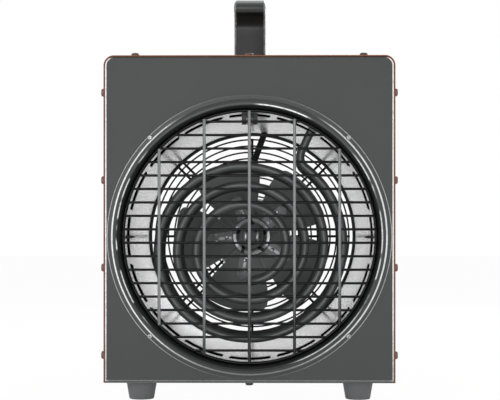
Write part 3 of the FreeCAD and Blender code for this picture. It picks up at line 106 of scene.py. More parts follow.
class CasingSettings(bpy.types.PropertyGroup):
    cover_sheet: length("Cover sheet", "Thickness of the bent cover", 0.0012)
    cover_corner: length("Cover corner", "Outer bend between roof and sides", 0.010)
    panel_sheet: length("Panel sheet", "Thickness of the front panel", 0.001)
    panel_fold: length("Panel fold", "Outer bend around the front panel", 0.0025)
    panel_opening: length("Panel opening", "Radius of the round opening", 0.1273)
    opening_edge: length("Opening edge", "Even ring of faces around the opening", 0.0006)
    fit: length("Fit", "Panel inside the cover", 0.0001)
    division: length("Division", "Points along the panel's outline, apart", 0.0045)
    end_row: length("End row", "First row of faces at each end of the cover", 0.004)
    second_row: length("Second row", "End of the second row of faces, from the end of the cover", 0.02)
    edge: length("Soft edge", "Rounding of cut sheet edges", 0.00025)


class OutletSettings(bpy.types.PropertyGroup):
    bore: length("Bore", "Inner radius of the outlet ring", 0.126)
    lip_width: length("Lip width", "Rolled lip across", 0.008)
    lip_round: length("Lip round", "Radius of the rolled lip", 0.0035)
    flange_width: length("Flange", "Flat flange outside the lip", 0.005)
    ring_sheet: length("Ring sheet", "Thickness of the ring", 0.001)
    screw_place: length("Screw place", "Screws in the flange, from the axis", 0.137)
    wire: length("Cross wire", "Diameter of the cross wires", 0.0025)
    bar: length("Upright wire", "Diameter of the upright wires", 0.003)
    wire_rows: number("Cross wires", "Cross wires in the guard", 18)
    wire_pitch: length("Wire pitch", "Cross wires apart", 0.0132)
    wire_lift: length("Wire lift", "Middle of the rows above the axis", 0.0009)
    bars: number("Upright wires", "Upright wires in the guard", 5)
    bar_pitch: length("Bar pitch", "Upright wires apart", 0.0442)
    bar_short: length("Bar end", "Upright wires end inside the middle of the rim", 0.0008)
    rim: length("Rim", "Diameter of the rim wire", 0.003)
    rim_place: length("Rim place", "Rim wire from the axis", 0.12425)
    rim_depth: length("Rim depth", "Rim wire behind the panel face", 0.009)
    weld: length("Weld", "Crossing wires pressed together", 0.0003)


class HeatSettings(bpy.types.PropertyGroup):
    drum_sheet: length("Drum sheet", "Thickness of the drum", 0.0008)
    slots: number("Slots", "Slots around the drum", 16)
    slot_length: length("Slot length", "Slots along the rim", 0.0388)
    slot_width: length("Slot width", "Slots along the axis", 0.008)
    slot_depth: length("Slot depth", "Slots behind the panel face", 0.0455)
    tube: length("Tube", "Diameter of the heating tubes", 0.0085)
    spiral_depth: length("First spiral", "First spiral behind the panel face", 0.058)
    spiral_step: length("Spiral step", "Heating tubes, front to back", 0.034)
    spiral_shift: length("Spiral shift", "Spiral centre left of the axis", 0.0013)
    spiral_drop: length("Spiral drop", "Spiral centre below the axis", 0.0072)
    spiral_outer: length("Outer turn", "Radius of the outer turn", 0.0968)
    spiral_inner: length("Inner end", "Radius at the inner end", 0.0312)
    spiral_turns: level("Turns", "Turns of one spiral", 3.36)
    spiral_start: slope("Start", "Angle of the outer end", 53.0)
    leg_bend: length("Leg bend", "Bend into a leg", 0.014)
    leg_lean: slope("Leg lean", "Slope of the legs", 65.5)
    leg_reach: length("Leg reach", "Tube outside the drum", 0.021)


class FanSettings(bpy.types.PropertyGroup):
    plane: length("Blade plane", "Blade plane behind the panel face", 0.223)
    tip: length("Tip", "Radius over the blade tips", 0.086)
    root: length("Root", "Inner edge of a blade", 0.022)
    camber: length("Camber", "Curve of a blade", 0.110)
    sheet: length("Blade sheet", "Thickness of a blade", 0.0012)
    arm_sheet: length("Arm sheet", "Thickness of the arms before the blades", 0.0016)
    pitch: slope("Pitch", "Slope of a blade", 24.0)
    first: slope("First blade", "Angle of the first blade", 40.0)
    blades: number("Blades", "Number of blades", 5)
    rivet: length("Rivet", "Radius of a rivet head", 0.0024)
    rivet_height: length("Rivet height", "Height of a rivet head", 0.0011)
    rivet_sink: length("Rivet sink", "Rivet head in the arm", 0.0003)
    rivet_inner: length("Inner rivet", "Single rivet from the axis", 0.0285)
    rivet_outer: length("Outer rivets", "Pair of rivets from the axis", 0.0405)
    rivet_aside: length("Rivet aside", "Rivets of the pair beside the arm's line", 0.0036)


class RearGuardSettings(bpy.types.PropertyGroup):
    inlet: length("Inlet", "Radius of the rear opening", 0.121)
    spoke: length("Spoke", "Diameter of the spokes", 0.003)
    ring: length("Ring", "Diameter of the ring wires", 0.002)
    pair: length("Pair", "Half the distance in a double spoke", 0.004)
    rings: number("Rings", "Ring wires", 10)
    ring_pitch: length("Ring pitch", "Ring wires apart", 0.0076)
    first_ring: length("First ring", "Outermost ring wire inside the opening", 0.004)
    weld: length("Weld", "Crossing wires pressed together", 0.0003)
    spokes: number("Spokes", "Single and double spokes", 8)
    spoke_short: length("Spoke end", "Single spokes end inside the opening", 0.003)
    inner_end: length("Inner end", "Spokes from the axis", 0.032)
    lap: length("Lap", "Spoke loops on the panel, from the opening", 0.010)
    gap: length("Gap", "Spokes behind the rear panel", 0.0001)


class HandleSettings(bpy.types.PropertyGroup):
    leg: length("Leg", "Thickness of a leg", 0.015)
    neck: length("Neck", "Straight part of the leg", 0.0346)
    nose: length("Nose", "Nose in front of the leg", 0.0136)
    nose_round: length("Nose round", "Radius of the nose", 0.0058)
    top_slope: slope("Top slope", "Slope of the grip at the nose", 16.4)
    finger_neck: length("Finger neck", "Straight inner side of the leg", 0.040)
    under_slope: slope("Under slope", "Slope of the underside at the legs", 7.5)
    corner: length("Corner", "Inner corner between leg and grip", 0.012)
    edge: length("Edge", "Rounding of the long edges", 0.003)


class FixingSettings(bpy.types.PropertyGroup):
    head: length("Head", "Radius of a casing screw head", 0.004)
    head_height: length("Head height", "Height of a casing screw head", 0.0029)
    shank: length("Shank", "Radius of a casing screw", 0.0021)
    reach: length("Reach", "Casing screw under the head", 0.0095)
    small_head: length("Small head", "Radius of a ring screw head", 0.0026)
    small_height: length("Small height", "Height of a ring screw head", 0.0022)
    small_shank: length("Small shank", "Radius of a ring screw", 0.00145)
    small_reach: length("Small reach", "Ring screw under the head", 0.010)
    broad_head: length("Broad head", "Radius of a guard screw head", 0.0055)
    point: length("Point", "Pointed end of a screw", 0.003)
    inset: length("Inset", "Screw rows from the front and the rear face", 0.007)
    side_rows: number("Side screws", "Screws up each edge of a side", 4)
    side_first: length("First side screw", "Lowest side screw above the cover's edge", 0.0267)
    side_pitch: length("Side pitch", "Side screws apart", 0.0858)
    roof_pitch: length("Roof pitch", "Roof screws apart", 0.112)
    sill_rise: length("Sill rise", "Base screws above the cover's edge", 0.009)
    sill_half: length("Sill place", "Base screws before and behind the middle", 0.065)
    guard_place: length("Guard screws", "Screws of the rear guard outside the opening", 0.006)
    foot_end: length("Foot end", "Radius of a foot on the floor", 0.01225)
    foot_top: length("Foot top", "Radius of a foot at the base", 0.0155)
    foot_well: length("Foot well", "Radius of the screw well", 0.0065)
    foot_bore: length("Foot bore", "Radius of the screw hole", 0.00255)
    foot_well_depth: length("Well depth", "Depth of the screw well", 0.009)


class DialSettings(bpy.types.PropertyGroup):
    inner: length("Inner", "Inner end of the ticks", 0.0200)
    outer: length("Outer", "Outer end of the ticks", 0.0228)
    tick: length("Tick", "Half the width of a tick", 0.00045)
    main_tick: length("Main tick", "Half the width of every fifth tick", 0.0007)
    print_height: length("Print", "Height of the print", 0.0001)
    thermostat_ticks: number("Thermostat ticks", "Ticks of the thermostat", 11)
    thermostat_turn: slope("Thermostat turn", "Turn of the thermostat knob", 270.0)
    selector_ticks: number("Selector ticks", "Ticks of the selector", 4)
    selector_turn: slope("Selector turn", "Turn of the selector knob", 135.0)


class FinishSettings(bpy.types.PropertyGroup):
    cover: colour("Cover", "Coat of the bent cover", 118, 71, 48)
    panel: colour("Panel", "Coat of the front and rear panels", 71, 73, 72)
    ring: colour("Ring", "Coat of the lip and flange of the outlet ring", 64, 66, 65)
    # Painted shade inside the outlet ring.
    ring_inside_shade: colour("Ring inside", "Gloss coat inside the outlet ring", 24, 25, 25)
    wire: colour("Wire", "Coat of the cross wires and the rear guard", 14, 14, 15)
    # Painted sheen: the upright wires have the same black coat as the cross wires, and this grey stands in for the
    # light they catch.
    bar: colour("Upright wire", "Coat of the upright wires", 120, 121, 122)
    zinc: colour("Zinc", "Base plate, shelf and brackets", 200, 202, 204)
    drum: colour("Drum", "Bright zinc of the drum", 250, 250, 251)
    tube: colour("Heating tube", "Jacket of the heating tubes", 70, 72, 72)
    tube_hot: colour("Heated tube", "Jacket where it has glowed", 86, 88, 88)
    blade: colour("Blade", "Coat of the fan blades", 118, 120, 119)
    alloy: colour("Alloy", "Fan spider", 166, 168, 169)
    rubber: colour("Rubber", "Feet", 94, 95, 96)
    handle: colour("Handle", "Moulded handle", 60, 61, 61)
    screw: colour("Screw", "Plated casing screws", 98, 80, 72)
    mark: colour("Mark", "Dial ticks and knob lines", 225, 226, 226)
    steel: colour("Steel", "Shaft, rivets and nuts", 214, 215, 216)
    ring_screw: colour("Ring screw", "Plated screws of the outlet ring", 138, 139, 140)
    black_screw: colour("Black screw", "Coated screws and clips", 40, 40, 41)
    nut: colour("Fan nut", "Turned nut before the fan", 40, 41, 42)
    motor: colour("Motor", "Coat of the motor shields", 96, 98, 100)
    winding: colour("Winding", "Enamelled copper wire", 186, 106, 62)
    lamination: colour("Lamination", "Stacked motor sheets", 128, 129, 131)
    lead: colour("Lead", "Sheath of the motor lead", 32, 32, 33)
    knob: colour("Knob", "Moulded knobs, collar and gland", 34, 34, 35)
    control: colour("Control", "Moulded bodies of the controls", 60, 60, 61)
    button: colour("Button", "Reset button", 178, 34, 28)
    bush: colour("Bush", "Bushes of the heating tubes", 226, 220, 206)
    brass: colour("Brass", "Terminals and link strip", 196, 160, 92)


class StageSettings(bpy.types.PropertyGroup):
    distance: length("Camera distance", "Camera before the panel face", 1.25)
    height: length("Camera height", "Camera above the floor", 0.165)
    lens: level("Lens", "Focal length in millimetres on a 36 mm frame", 92.3)
    rise: level("Rise", "Upward shift of the picture, as a share of its width", 0.0668)
    floor: length("Floor", "Side of the square floor", 16.0)
    floor_sheet: length("Floor sheet", "Thickness of the floor", 0.01)
    floor_white: level("Floor white", "Share of plain white in the floor that is seen", 0.96)
    aside: length("Camera aside", "Camera to the right of the middle", 0.015)
    aim: length("Aim", "Point on the panel that the camera looks at, right of the middle", 0.0007)
    world: level("World", "Light that comes from all round", 0.40)
    front_lamp: level("Front lamp", "Power of the lamp above the camera in watts", 11.5)
    left_lamp: level("Left lamp", "Power of the left side lamp in watts", 8.5)
    right_lamp: level("Right lamp", "Power of the right side lamp in watts", 6.5)
    rear_lamp: level("Rear lamp", "Power of the lamp behind in watts", 8.0)
    top_lamp: level("Top lamp", "Power of the lamp overhead in watts", 6.5)


class FanHeaterSettings(bpy.types.PropertyGroup):
    casing: PointerProperty(type=CasingSettings)
    outlet: PointerProperty(type=OutletSettings)
    heat: PointerProperty(type=HeatSettings)
    fan: PointerProperty(type=FanSettings)
    rear_guard: PointerProperty(type=RearGuardSettings)
    handle: PointerProperty(type=HandleSettings)
    fixing: PointerProperty(type=FixingSettings)
    dial: PointerProperty(type=DialSettings)
    finish: PointerProperty(type=FinishSettings)
    stage: PointerProperty(type=StageSettings)


# Shapes: grids of points and the faces between them.

def grid_faces(rows, columns, wrap_rows=False, wrap_columns=False):
    """Four-sided faces between neighbouring rows and columns; a wrapped side joins last to first."""
    index = np.arange(rows * columns).reshape(rows, columns)
    if wrap_rows:
        index = np.concatenate([index, index[:1]])
    if wrap_columns:
        index = np.concatenate([index, index[:, :1]], axis=1)
    return np.stack([index[:-1, :-1], index[:-1, 1:], index[1:, 1:], index[1:, :-1]], axis=-1).reshape(-1, 4)


def stacked(*parts):
    """Grid of points whose coordinates are spread over each other."""
    return np.stack(np.broadcast_arrays(*parts), axis=-1)


def front_corners(low, high):
    """Corners of a box seen from the front, up the left side and down the right one."""
    return [(low.x, low.z), (low.x, high.z), (high.x, high.z), (high.x, low.z)]


def spun(turn):
    """Matrix that turns rows of points about the Y axis."""
    c, s = math.cos(turn), math.sin(turn)
    return np.array(((c, 0, s), (0, 1, 0), (-s, 0, c)))


def left_of(way):
    """A plane vector turned left by a quarter."""
    return np.array((-way[1], way[0]))


def swung(vector, angles):
    """A plane vector turned by each of the angles."""
    c, s = np.cos(angles), np.sin(angles)
    return np.stack([vector[0] * c - vector[1] * s, vector[0] * s + vector[1] * c], axis=-1)


def rounded(corners, radii, closed=True, steps=8):
    """Outline whose corners become arcs, with the left-hand side vector of every point.

    An arc of radius r starts r tan(turn / 2) before its corner. A sharp corner keeps one point whose side is the
    mitre (n1 + n2) / (1 + n1 . n2), so that moving every point along its side offsets the outline evenly.
    """
    corners = np.asarray(corners, float)
    count = len(corners)
    points, sides = [], []
    for i, radius in enumerate(radii):
        here = corners[i]
        arrives = here - corners[i - 1] if closed or i > 0 else None
        leaves = corners[(i + 1) % count] - here if closed or i < count - 1 else None
        arrives = leaves if arrives is None else arrives
        leaves = arrives if leaves is None else leaves
        d1, d2 = arrives / np.linalg.norm(arrives), leaves / np.linalg.norm(leaves)
        n1, n2 = left_of(d1), left_of(d2)
        if radius <= 0:
            points.append(here[None])
            sides.append(((n1 + n2) / (1 + n1 @ n2))[None])
            continue
        turn = math.atan2(d1[0] * d2[1] - d1[1] * d2[0], d1 @ d2)
        setback = radius * math.tan(abs(turn) / 2)
        hand = math.copysign(1.0, turn)
        start, end = here - d1 * setback, here + d2 * setback
        side = swung(n1, turn * np.linspace(0, 1, steps + 1))
        arc = start + n1 * radius * hand - side * radius * hand
        points += [(start - d1 * HOLD)[None], arc, (end + d2 * HOLD)[None]]
        sides += [n1[None], side, n2[None]]
    return np.concatenate(points), np.concatenate(sides)


def arc_chain(stations):
    """Open outline through stations (point, (radius, hand) or None), with the left-hand side of every point.

    A station with a bend goes on to the next one by an arc of that radius; hand +1 turns left and -1 right.
    """
    points, sides = [], []
    for (a, bend), (b, unused) in zip(stations[:-1], stations[1:]):
        a, b = np.asarray(a, float), np.asarray(b, float)
        chord = b - a
        reach = np.linalg.norm(chord)
        left = left_of(chord / reach)
        if bend is None:
            share = np.linspace(0, 1, 6)[:, None]
            points.append(a + chord * share)
            sides.append(np.repeat(left[None], 6, axis=0))
            continue
        radius, hand = bend
        centre = (a + b) / 2 + left * hand * math.sqrt(max(radius ** 2 - reach ** 2 / 4, 0.0))
        first, last = (math.atan2(*(p - centre)[::-1]) for p in (a, b))
        last += 2 * math.pi * hand * (hand * (last - first) < 0)
        angles = np.linspace(first, last, max(6, int(abs(last - first) / math.radians(5))) if radius < 0.05 else 40)
        outward = np.stack([np.cos(angles), np.sin(angles)], axis=-1)
        points.append(centre + outward * radius)
        sides.append(-outward * hand)
    points, sides = np.concatenate(points), np.concatenate(sides)
    kept = np.concatenate([[True], np.linalg.norm(np.diff(points, axis=0), axis=1) > 1e-7])
    return points[kept], sides[kept]


def stood(points, at, way):
    """Points whose own Z axis is turned to a way, then moved to a place."""
    w = np.asarray(way, float) / np.linalg.norm(way)
    u = np.array((0.0, 1.0, 0.0)) if abs(w[0]) > 0.9 else np.array((1.0, 0.0, 0.0))
    u = u - w * (u @ w)
    u /= np.linalg.norm(u)
    return np.asarray(points) @ np.stack([u, np.cross(w, u), w]) + np.asarray(at, float)


def thickened(points, sides, quads, sheet):
    """Sheet of even thickness: a copy of the surface moved back along its sides, and a wall along every edge that only
    one face has. Gives points, faces and a mark along the edges, which the finishes use for scuffed edges and for
    painted highlight and shade."""
    points, sides = np.reshape(points, (-1, 3)), np.reshape(sides, (-1, 3))
    count = len(points)
    edges = np.concatenate([quads[:, [k, (k + 1) % 4]] for k in range(4)])
    unused, first, uses = np.unique(np.sort(edges, axis=1), axis=0, return_index=True, return_counts=True)
    rim = edges[first[uses == 1]]
    walls = np.stack([rim[:, 1], rim[:, 0], rim[:, 0] + count, rim[:, 1] + count], axis=-1)
    faces = np.concatenate([quads, quads[:, ::-1] + count, walls])
    rub = np.zeros(2 * count)
    rub[np.concatenate([rim, rim + count])] = 1.0
    return np.concatenate([points, points - sides * sheet]), faces, rub


class Piece:
    """Closed shells of one piece, gathered before they become a mesh."""

    def __init__(self):
        self.points, self.quads, self.triangles, self.caps, self.wear_and_light_marks = [], [], [], [], []
        self.count = 0

    def add(self, points, quads, rub=None, triangles=(), caps=()):
        """One closed shell. The volume inside it, a sixth of the summed triple products of its triangles, says which
        way its faces point; below zero they are turned round."""
        points = np.asarray(points, float).reshape(-1, 3)
        quads = np.asarray(quads, int).reshape(-1, 4)
        triangles = np.asarray(triangles, int).reshape(-1, 3)
        caps = [np.asarray(cap, int) for cap in caps]
        fans = [np.stack([np.full(len(cap) - 2, cap[0]), cap[1:-1], cap[2:]], axis=-1) for cap in caps]
        split = np.concatenate([quads[:, [0, 1, 2]], quads[:, [0, 2, 3]], triangles] + fans)
        a, b, c = (points[split[:, k]] - points.mean(axis=0) for k in range(3))
        if np.einsum("ij,ij->i", a, np.cross(b, c)).sum() < 0:
            quads, triangles, caps = quads[:, ::-1], triangles[:, ::-1], [cap[::-1] for cap in caps]
        self.points.append(points)
        self.quads.append(quads + self.count)
        self.triangles.append(triangles + self.count)
        self.caps += [cap + self.count for cap in caps]
        self.wear_and_light_marks.append(np.zeros(len(points)) if rub is None else rub)
        self.count += len(points)
        return self

    def turned(self, profile, at, way, steps, shape=None):
        """Turned shell: profile (along, radius) carried round a line. A closed profile gives a ring; one that starts
        and ends on the line is closed by a fan of triangles at each pole. shape may move the finished grid."""
        profile = np.asarray(profile, float)
        angles = np.linspace(0, 2 * math.pi, steps, endpoint=False)[:, None]
        poles = profile[0, 1] < 1e-9 and profile[-1, 1] < 1e-9
        ring = profile[1:-1] if poles else profile
        grid = stacked(np.cos(angles) * ring[:, 1], np.sin(angles) * ring[:, 1], ring[:, 0])
        if shape is not None:
            grid = shape(grid)
        rows, columns = grid.shape[:2]
        if not poles:
            return self.add(stood(grid.reshape(-1, 3), at, way), grid_faces(rows, columns, True, True))
        tops = np.array([(0, 0, profile[0, 0]), (0, 0, profile[-1, 0])])
        if shape is not None:
            tops = shape(tops[None])[0]
        points = np.concatenate([grid.reshape(-1, 3), tops])
        first = np.arange(rows) * columns
        after = np.roll(first, -1)
        low = np.stack([first, after, np.full(rows, rows * columns)], axis=-1)
        high = np.stack([after, first, np.full(rows, rows * columns + 1)], axis=-1)
        high[:, :2] += columns - 1
        return self.add(stood(points, at, way), grid_faces(rows, columns, True), triangles=[*low, *high])

    def swept(self, path, radius, lean, sides=12):
        """Round wire along an open path: circles square to the path, their first axis the path crossed with a fixed
        lean that the path never follows."""
        path = np.asarray(path, float)
        way = np.gradient(path, axis=0)
        way /= np.linalg.norm(way, axis=1)[:, None]
        u = np.cross(way, lean)
        u /= np.linalg.norm(u, axis=1)[:, None]
        v = np.cross(way, u)
        angles = np.linspace(0, 2 * math.pi, sides, endpoint=False)
        grid = path[:, None] + radius * (np.cos(angles)[:, None] * u[:, None] + np.sin(angles)[:, None] * v[:, None])
        rows = len(path)
        caps = [np.arange(sides)[::-1], np.arange(sides) + (rows - 1) * sides]
        return self.add(grid, grid_faces(rows, sides, False, True), caps=caps)

    def wire(self, a, b, radius, sides=12):
        """Straight round wire between two points."""
        a, b = np.asarray(a, float), np.asarray(b, float)
        lean = (0.0, 1.0, 0.0) if abs((b - a)[1]) < 0.5 * np.linalg.norm(b - a) else (1.0, 0.0, 0.0)
        return self.swept(np.stack([a, b]), radius, lean, sides)

    def hoop(self, centre, ring, radius, steps=168, sides=12):
        """Ring of round wire about a line along Y: a circle of points carried round a larger circle."""
        turn = np.linspace(0, 2 * math.pi, sides, endpoint=False)
        profile = np.stack([radius * np.sin(turn), ring + radius * np.cos(turn)], axis=-1)
        return self.turned(profile, centre, (0, 1, 0), steps)

    def meshed(self, name, material):
        """Mesh object at the origin."""
        mesh = bpy.data.meshes.new(name)
        points = np.concatenate(self.points)
        quads, triangles = np.concatenate(self.quads), np.concatenate(self.triangles)
        sizes = np.concatenate([np.full(len(quads), 4), np.full(len(triangles), 3),
                                np.array([len(cap) for cap in self.caps], int)])
        corners = np.concatenate([quads.ravel(), triangles.ravel()] + self.caps)
        mesh.vertices.add(len(points))
        mesh.loops.add(len(corners))
        mesh.polygons.add(len(sizes))
        mesh.vertices.foreach_set("co", points.astype(np.float32).ravel())
        mesh.loops.foreach_set("vertex_index", corners.astype(np.int32))
        mesh.polygons.foreach_set("loop_start", (np.cumsum(sizes) - sizes).astype(np.int32))
        mesh.update(calc_edges=True)
        if mesh.validate():
            raise RuntimeError(f"{name}: the mesh had faults")
        mesh.polygons.foreach_set("use_smooth", np.ones(len(sizes), bool))
        mesh.set_sharp_from_angle(angle=SHARP)
        # Mark along edges and folds, for scuffed edges and for painted highlight and shade.
        rub = mesh.attributes.new("rub", "FLOAT", "POINT")
        rub.data.foreach_set("value", np.concatenate(self.wear_and_light_marks).astype(np.float32))
        mesh.materials.append(material)
        thing = bpy.data.objects.new(name, mesh)
        bpy.context.scene.collection.objects.link(thing)
        return thing

    def build(self, context, name, slot, *nodes, body=HEATER, finish=None, soft=0.0):
        """Mesh object on its body, with its finish and in place of its solids; soft rounds its sharp edges."""
        thing = self.meshed(name, finish_for(context, finish or slot))
        if soft > 0:
            bevel = thing.modifiers.new("soft_edges", "BEVEL")
            bevel.width = soft
            bevel.segments = 2
            bevel.limit_method = "ANGLE"
            bevel.angle_limit = math.radians(50)
            bevel.harden_normals = True
        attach(thing, body)
        if nodes:
            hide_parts(*nodes)


# Finishes.

def add(tree, kind, values=None, **settings):
    """Shader node with its settings; values go into its inputs, as constants or as links."""
    made = tree.nodes.new(kind)
    for key, value in settings.items():
        setattr(made, key, value)
    for key, value in (values or {}).items():
        value = getattr(value, "socket", value)
        if isinstance(value, bpy.types.NodeSocket):
            tree.links.new(value, made.inputs[key])
        else:
            made.inputs[key].default_value = value
    return made


class Field:
    """A value, colour or place that varies over a surface; what is done with it becomes shader nodes."""

    def __init__(self, tree, socket):
        self.tree, self.socket = tree, socket

    def node(self, kind, values, output, **settings):
        return Field(self.tree, add(self.tree, kind, values, **settings).outputs[output])

    def math(self, operation, *others, clamp=False):
        return self.node("ShaderNodeMath", dict(enumerate((self, *others))), 0, operation=operation, use_clamp=clamp)

    def __add__(self, other):
        return self.math("ADD", other)

    def __sub__(self, other):
        return self.math("SUBTRACT", other)

    def __mul__(self, other):
        return self.math("MULTIPLY", other)

    def __truediv__(self, other):
        return self.math("DIVIDE", other)

    def __abs__(self):
        return self.math("ABSOLUTE")

    def clamped(self):
        return self.math("ADD", 0.0, clamp=True)

    def most(self, *others):
        """The greatest of several fields."""
        made = self
        for other in others:
            made = made.math("MAXIMUM", other)
        return made

    def ramp(self, first, last, start=0.0, end=1.0):
        """Straight slope from start to end while the value goes from first to last."""
        return self.node("ShaderNodeMapRange", {"Value": self, "From Min": first, "From Max": last, "To Min": start,
                                                "To Max": end}, "Result")

    def below(self, first, last):
        """One up to the first value, falling to zero at the last."""
        return self.ramp(first, last, 1.0, 0.0)

    def band(self, middle, full, none):
        """One where the value lies within full of the middle, falling to zero at none."""
        return abs(self - middle).below(full, none)

    def noise(self, scale, detail=2.0):
        return self.node("ShaderNodeTexNoise", {"Vector": self, "Scale": scale, "Detail": detail}, "Fac")

    def shaded(self, value):
        return self.node("ShaderNodeHueSaturation", {"Color": self, "Value": value}, "Color")

    def blended(self, mask, second):
        """Second colour where the mask is one."""
        return self.node("ShaderNodeMix", {0: mask, 6: self, 7: second}, 2, data_type="RGBA")


KINDS = {"Vector": "NodeSocketVector", "Colour": "NodeSocketColor", "Second Colour": "NodeSocketColor"}


def effect(name, inputs, fill):
    """Shader node group, built once; fill makes its outputs from its inputs."""
    tree = bpy.data.node_groups.get(name)
    if tree is None:
        tree = bpy.data.node_groups.new(name, "ShaderNodeTree")
        for label in inputs:
            tree.interface.new_socket(label, in_out="INPUT", socket_type=KINDS.get(label, "NodeSocketFloat"))
        given = tree.nodes.new("NodeGroupInput").outputs
        ready = tree.nodes.new("NodeGroupOutput").inputs
        for label, made in fill(*(Field(tree, given[label]) for label in inputs)).items():
            tree.interface.new_socket(label, in_out="OUTPUT", socket_type=KINDS.get(label, "NodeSocketFloat"))
            tree.links.new(made.socket, ready[label])
    return tree


def coat_grain():
    """Sprayed coat: a fine orange-peel height, a slow drift of shade and an uneven gloss."""
    def fill(place, tint, grain, shade, rough, spread):
        drift, patch = place.noise(16.0, 3.0) - 0.5, place.noise(70.0, 4.0) - 0.5
        return {"Colour": tint.shaded(drift * shade + 1.0), "Roughness": (patch * spread + rough).clamped(),
                "Height": place.noise(grain)}
    return effect("coat_grain", ("Vector", "Colour", "Grain", "Shade", "Roughness", "Spread"), fill)


def edge_wear_and_light():
    """Mask of scuffed edges and of painted highlight and shade: the mark on the mesh, broken up by a noise."""
    def fill(place, mark, amount, wear):
        raised = (place.noise(420.0, 4.0) - 0.5) * 1.6 + wear
        wear_and_light_mask = (mark.math("POWER", 2.0) * raised).clamped()
        return {"Mask": (wear_and_light_mask * amount).clamped()}
    return effect("edge_wear_and_light", ("Vector", "Mark", "Amount", "Coverage"), fill)


def zinc_spangle():
    """Hot-dip zinc: crystal cells of slightly different shade and gloss, with fine rolling streaks."""
    def fill(place, tint, cells, shade, rough, spread):
        crystal = place.node("ShaderNodeTexVoronoi", {"Vector": place, "Scale": cells}, "Color")
        tone = crystal.node("ShaderNodeSeparateColor", {"Color": crystal}, 0)
        streak = place.noise(38.0, 6.0)
        swing = tone * 0.6 + streak * 0.4 - 0.5
        return {"Colour": tint.shaded(swing * shade + 1.0), "Roughness": (swing * spread + rough).clamped(),
                "Height": streak * 0.4 + tone}
    return effect("zinc_spangle", ("Vector", "Colour", "Cells", "Shade", "Roughness", "Spread"), fill)


def heat_tint():
    """Oxidised jacket: slow patches between two colours, with a fine scale on top."""
    def fill(place, tint, second, rough):
        patch, scale = place.noise(34.0, 5.0).ramp(0.38, 0.66), place.noise(900.0, 3.0)
        return {"Colour": tint.blended(patch, second).shaded(scale * 0.3 + 0.85),
                "Roughness": (patch * 0.14 + rough).clamped(), "Height": scale}
    return effect("heat_tint", ("Vector", "Colour", "Second Colour", "Roughness"), fill)


def fine_lines():
    """Even lines across the first axis of the vector: wound wire or stacked sheets."""
    def fill(place, tint, lines, shade, rough):
        wave = place.node("ShaderNodeTexWave", {"Vector": place, "Scale": lines, "Distortion": 0.6, "Detail": 1.0},
                          "Fac", wave_type="BANDS", bands_direction="X")
        return {"Colour": tint.shaded((wave - 0.5) * shade + 1.0), "Roughness": (wave * 0.1 + rough).clamped(),
                "Height": wave}
    return effect("fine_lines", ("Vector", "Colour", "Lines", "Shade", "Roughness"), fill)


def opaque(tint):
    """Colour with full cover."""
    return (*tint, 1.0)


class Finish:
    """One material: an effect group feeding the shader's colour, roughness and bump."""

    def __init__(self, name, turn=None):
        self.material = bpy.data.materials.new(name)
        self.material.use_nodes = True
        self.tree = self.material.node_tree
        self.tree.nodes.clear()
        self.shader = add(self.tree, "ShaderNodeBsdfPrincipled")
        self.output = add(self.tree, "ShaderNodeOutputMaterial", {"Surface": self.shader.outputs[0]},
                          is_active_output=True)
        self.place = Field(self.tree, add(self.tree, "ShaderNodeTexCoord").outputs["Object"])
        if turn:
            self.place = self.place.node("ShaderNodeMapping", {"Vector": self.place, "Rotation": turn}, 0)

    def effect(self, group, bump, depth, **values):
        """Place an effect group; bump is the strength and depth the height of its relief in metres."""
        made = add(self.tree, "ShaderNodeGroup", node_tree=group)
        self.tree.links.new(self.place.socket, made.inputs["Vector"])
        for key, value in values.items():
            made.inputs[key.replace("_", " ")].default_value = value
        labels = ("Colour", "Roughness", "Height")
        self.colour, rough, height = (Field(self.tree, made.outputs[label]) for label in labels)
        relief = height.node("ShaderNodeBump", {"Height": height, "Strength": bump, "Distance": depth}, "Normal")
        return self.link("Base Color", self.colour).link("Roughness", rough).link("Normal", relief)

    def link(self, socket, field):
        self.tree.links.new(field.socket, self.shader.inputs[socket])
        return self

    def fixed(self, **values):
        """Constants of the shader itself."""
        for key, value in values.items():
            self.shader.inputs[key.replace("_", " ")].default_value = value
        return self

    def lustre(self, share):
        """Strength of the highlight that a coat shows."""
        return self.fixed(Specular_IOR_Level=share)

    def mixed_with(self, mask, tint):
        """Second colour where the mask is one."""
        self.colour = self.colour.blended(mask, opaque(tint))
        return self.link("Base Color", self.colour)

    def worn_and_lit(self, tint, amount, wear=0.18, mark=None):
        """Bare colour along scuffed edges, or painted highlight and shade: where the mesh is marked, or where a mask
        of the finish is given.
        """
        mark = mark or Field(self.tree, add(self.tree, "ShaderNodeAttribute", attribute_name="rub").outputs["Fac"])
        self.wear_and_light_mask = mark.node("ShaderNodeGroup", {"Vector": self.place, "Mark": mark, "Amount": amount, "Coverage": wear},
                              "Mask", node_tree=edge_wear_and_light())
        return self.mixed_with(self.wear_and_light_mask, tint)

    def parts(self):
        """Place of each point as three fields."""
        made = add(self.tree, "ShaderNodeSeparateXYZ", {"Vector": self.place})
        return [Field(self.tree, socket) for socket in made.outputs]

    def from_axis(self):
        """Distance from the line of the fan, with the offsets across and up."""
        x, unused, z = self.parts()
        up = z - AXIS_Z
        return (x * x + up * up).math("SQRT"), x, up


# Height of the relief of each kind of surface, in metres.
COAT_RELIEF, METAL_RELIEF, LINE_RELIEF, SCALE_RELIEF, PAPER_RELIEF = 0.00004, 0.00002, 0.00005, 0.00006, 0.00005

# Strength of the highlight on a dull coat.
DULL = 0.12

WHITE = (1.0, 1.0, 1.0, 1.0)


def coated(name, tint, rough, grain=1500.0, shade=0.10, spread=0.12, bump=0.12):
    """Paint, enamel, rubber or moulded plastic."""
    return Finish(name).effect(coat_grain(), bump, COAT_RELIEF, Colour=opaque(tint), Grain=grain, Shade=shade,
                               Roughness=rough, Spread=spread)


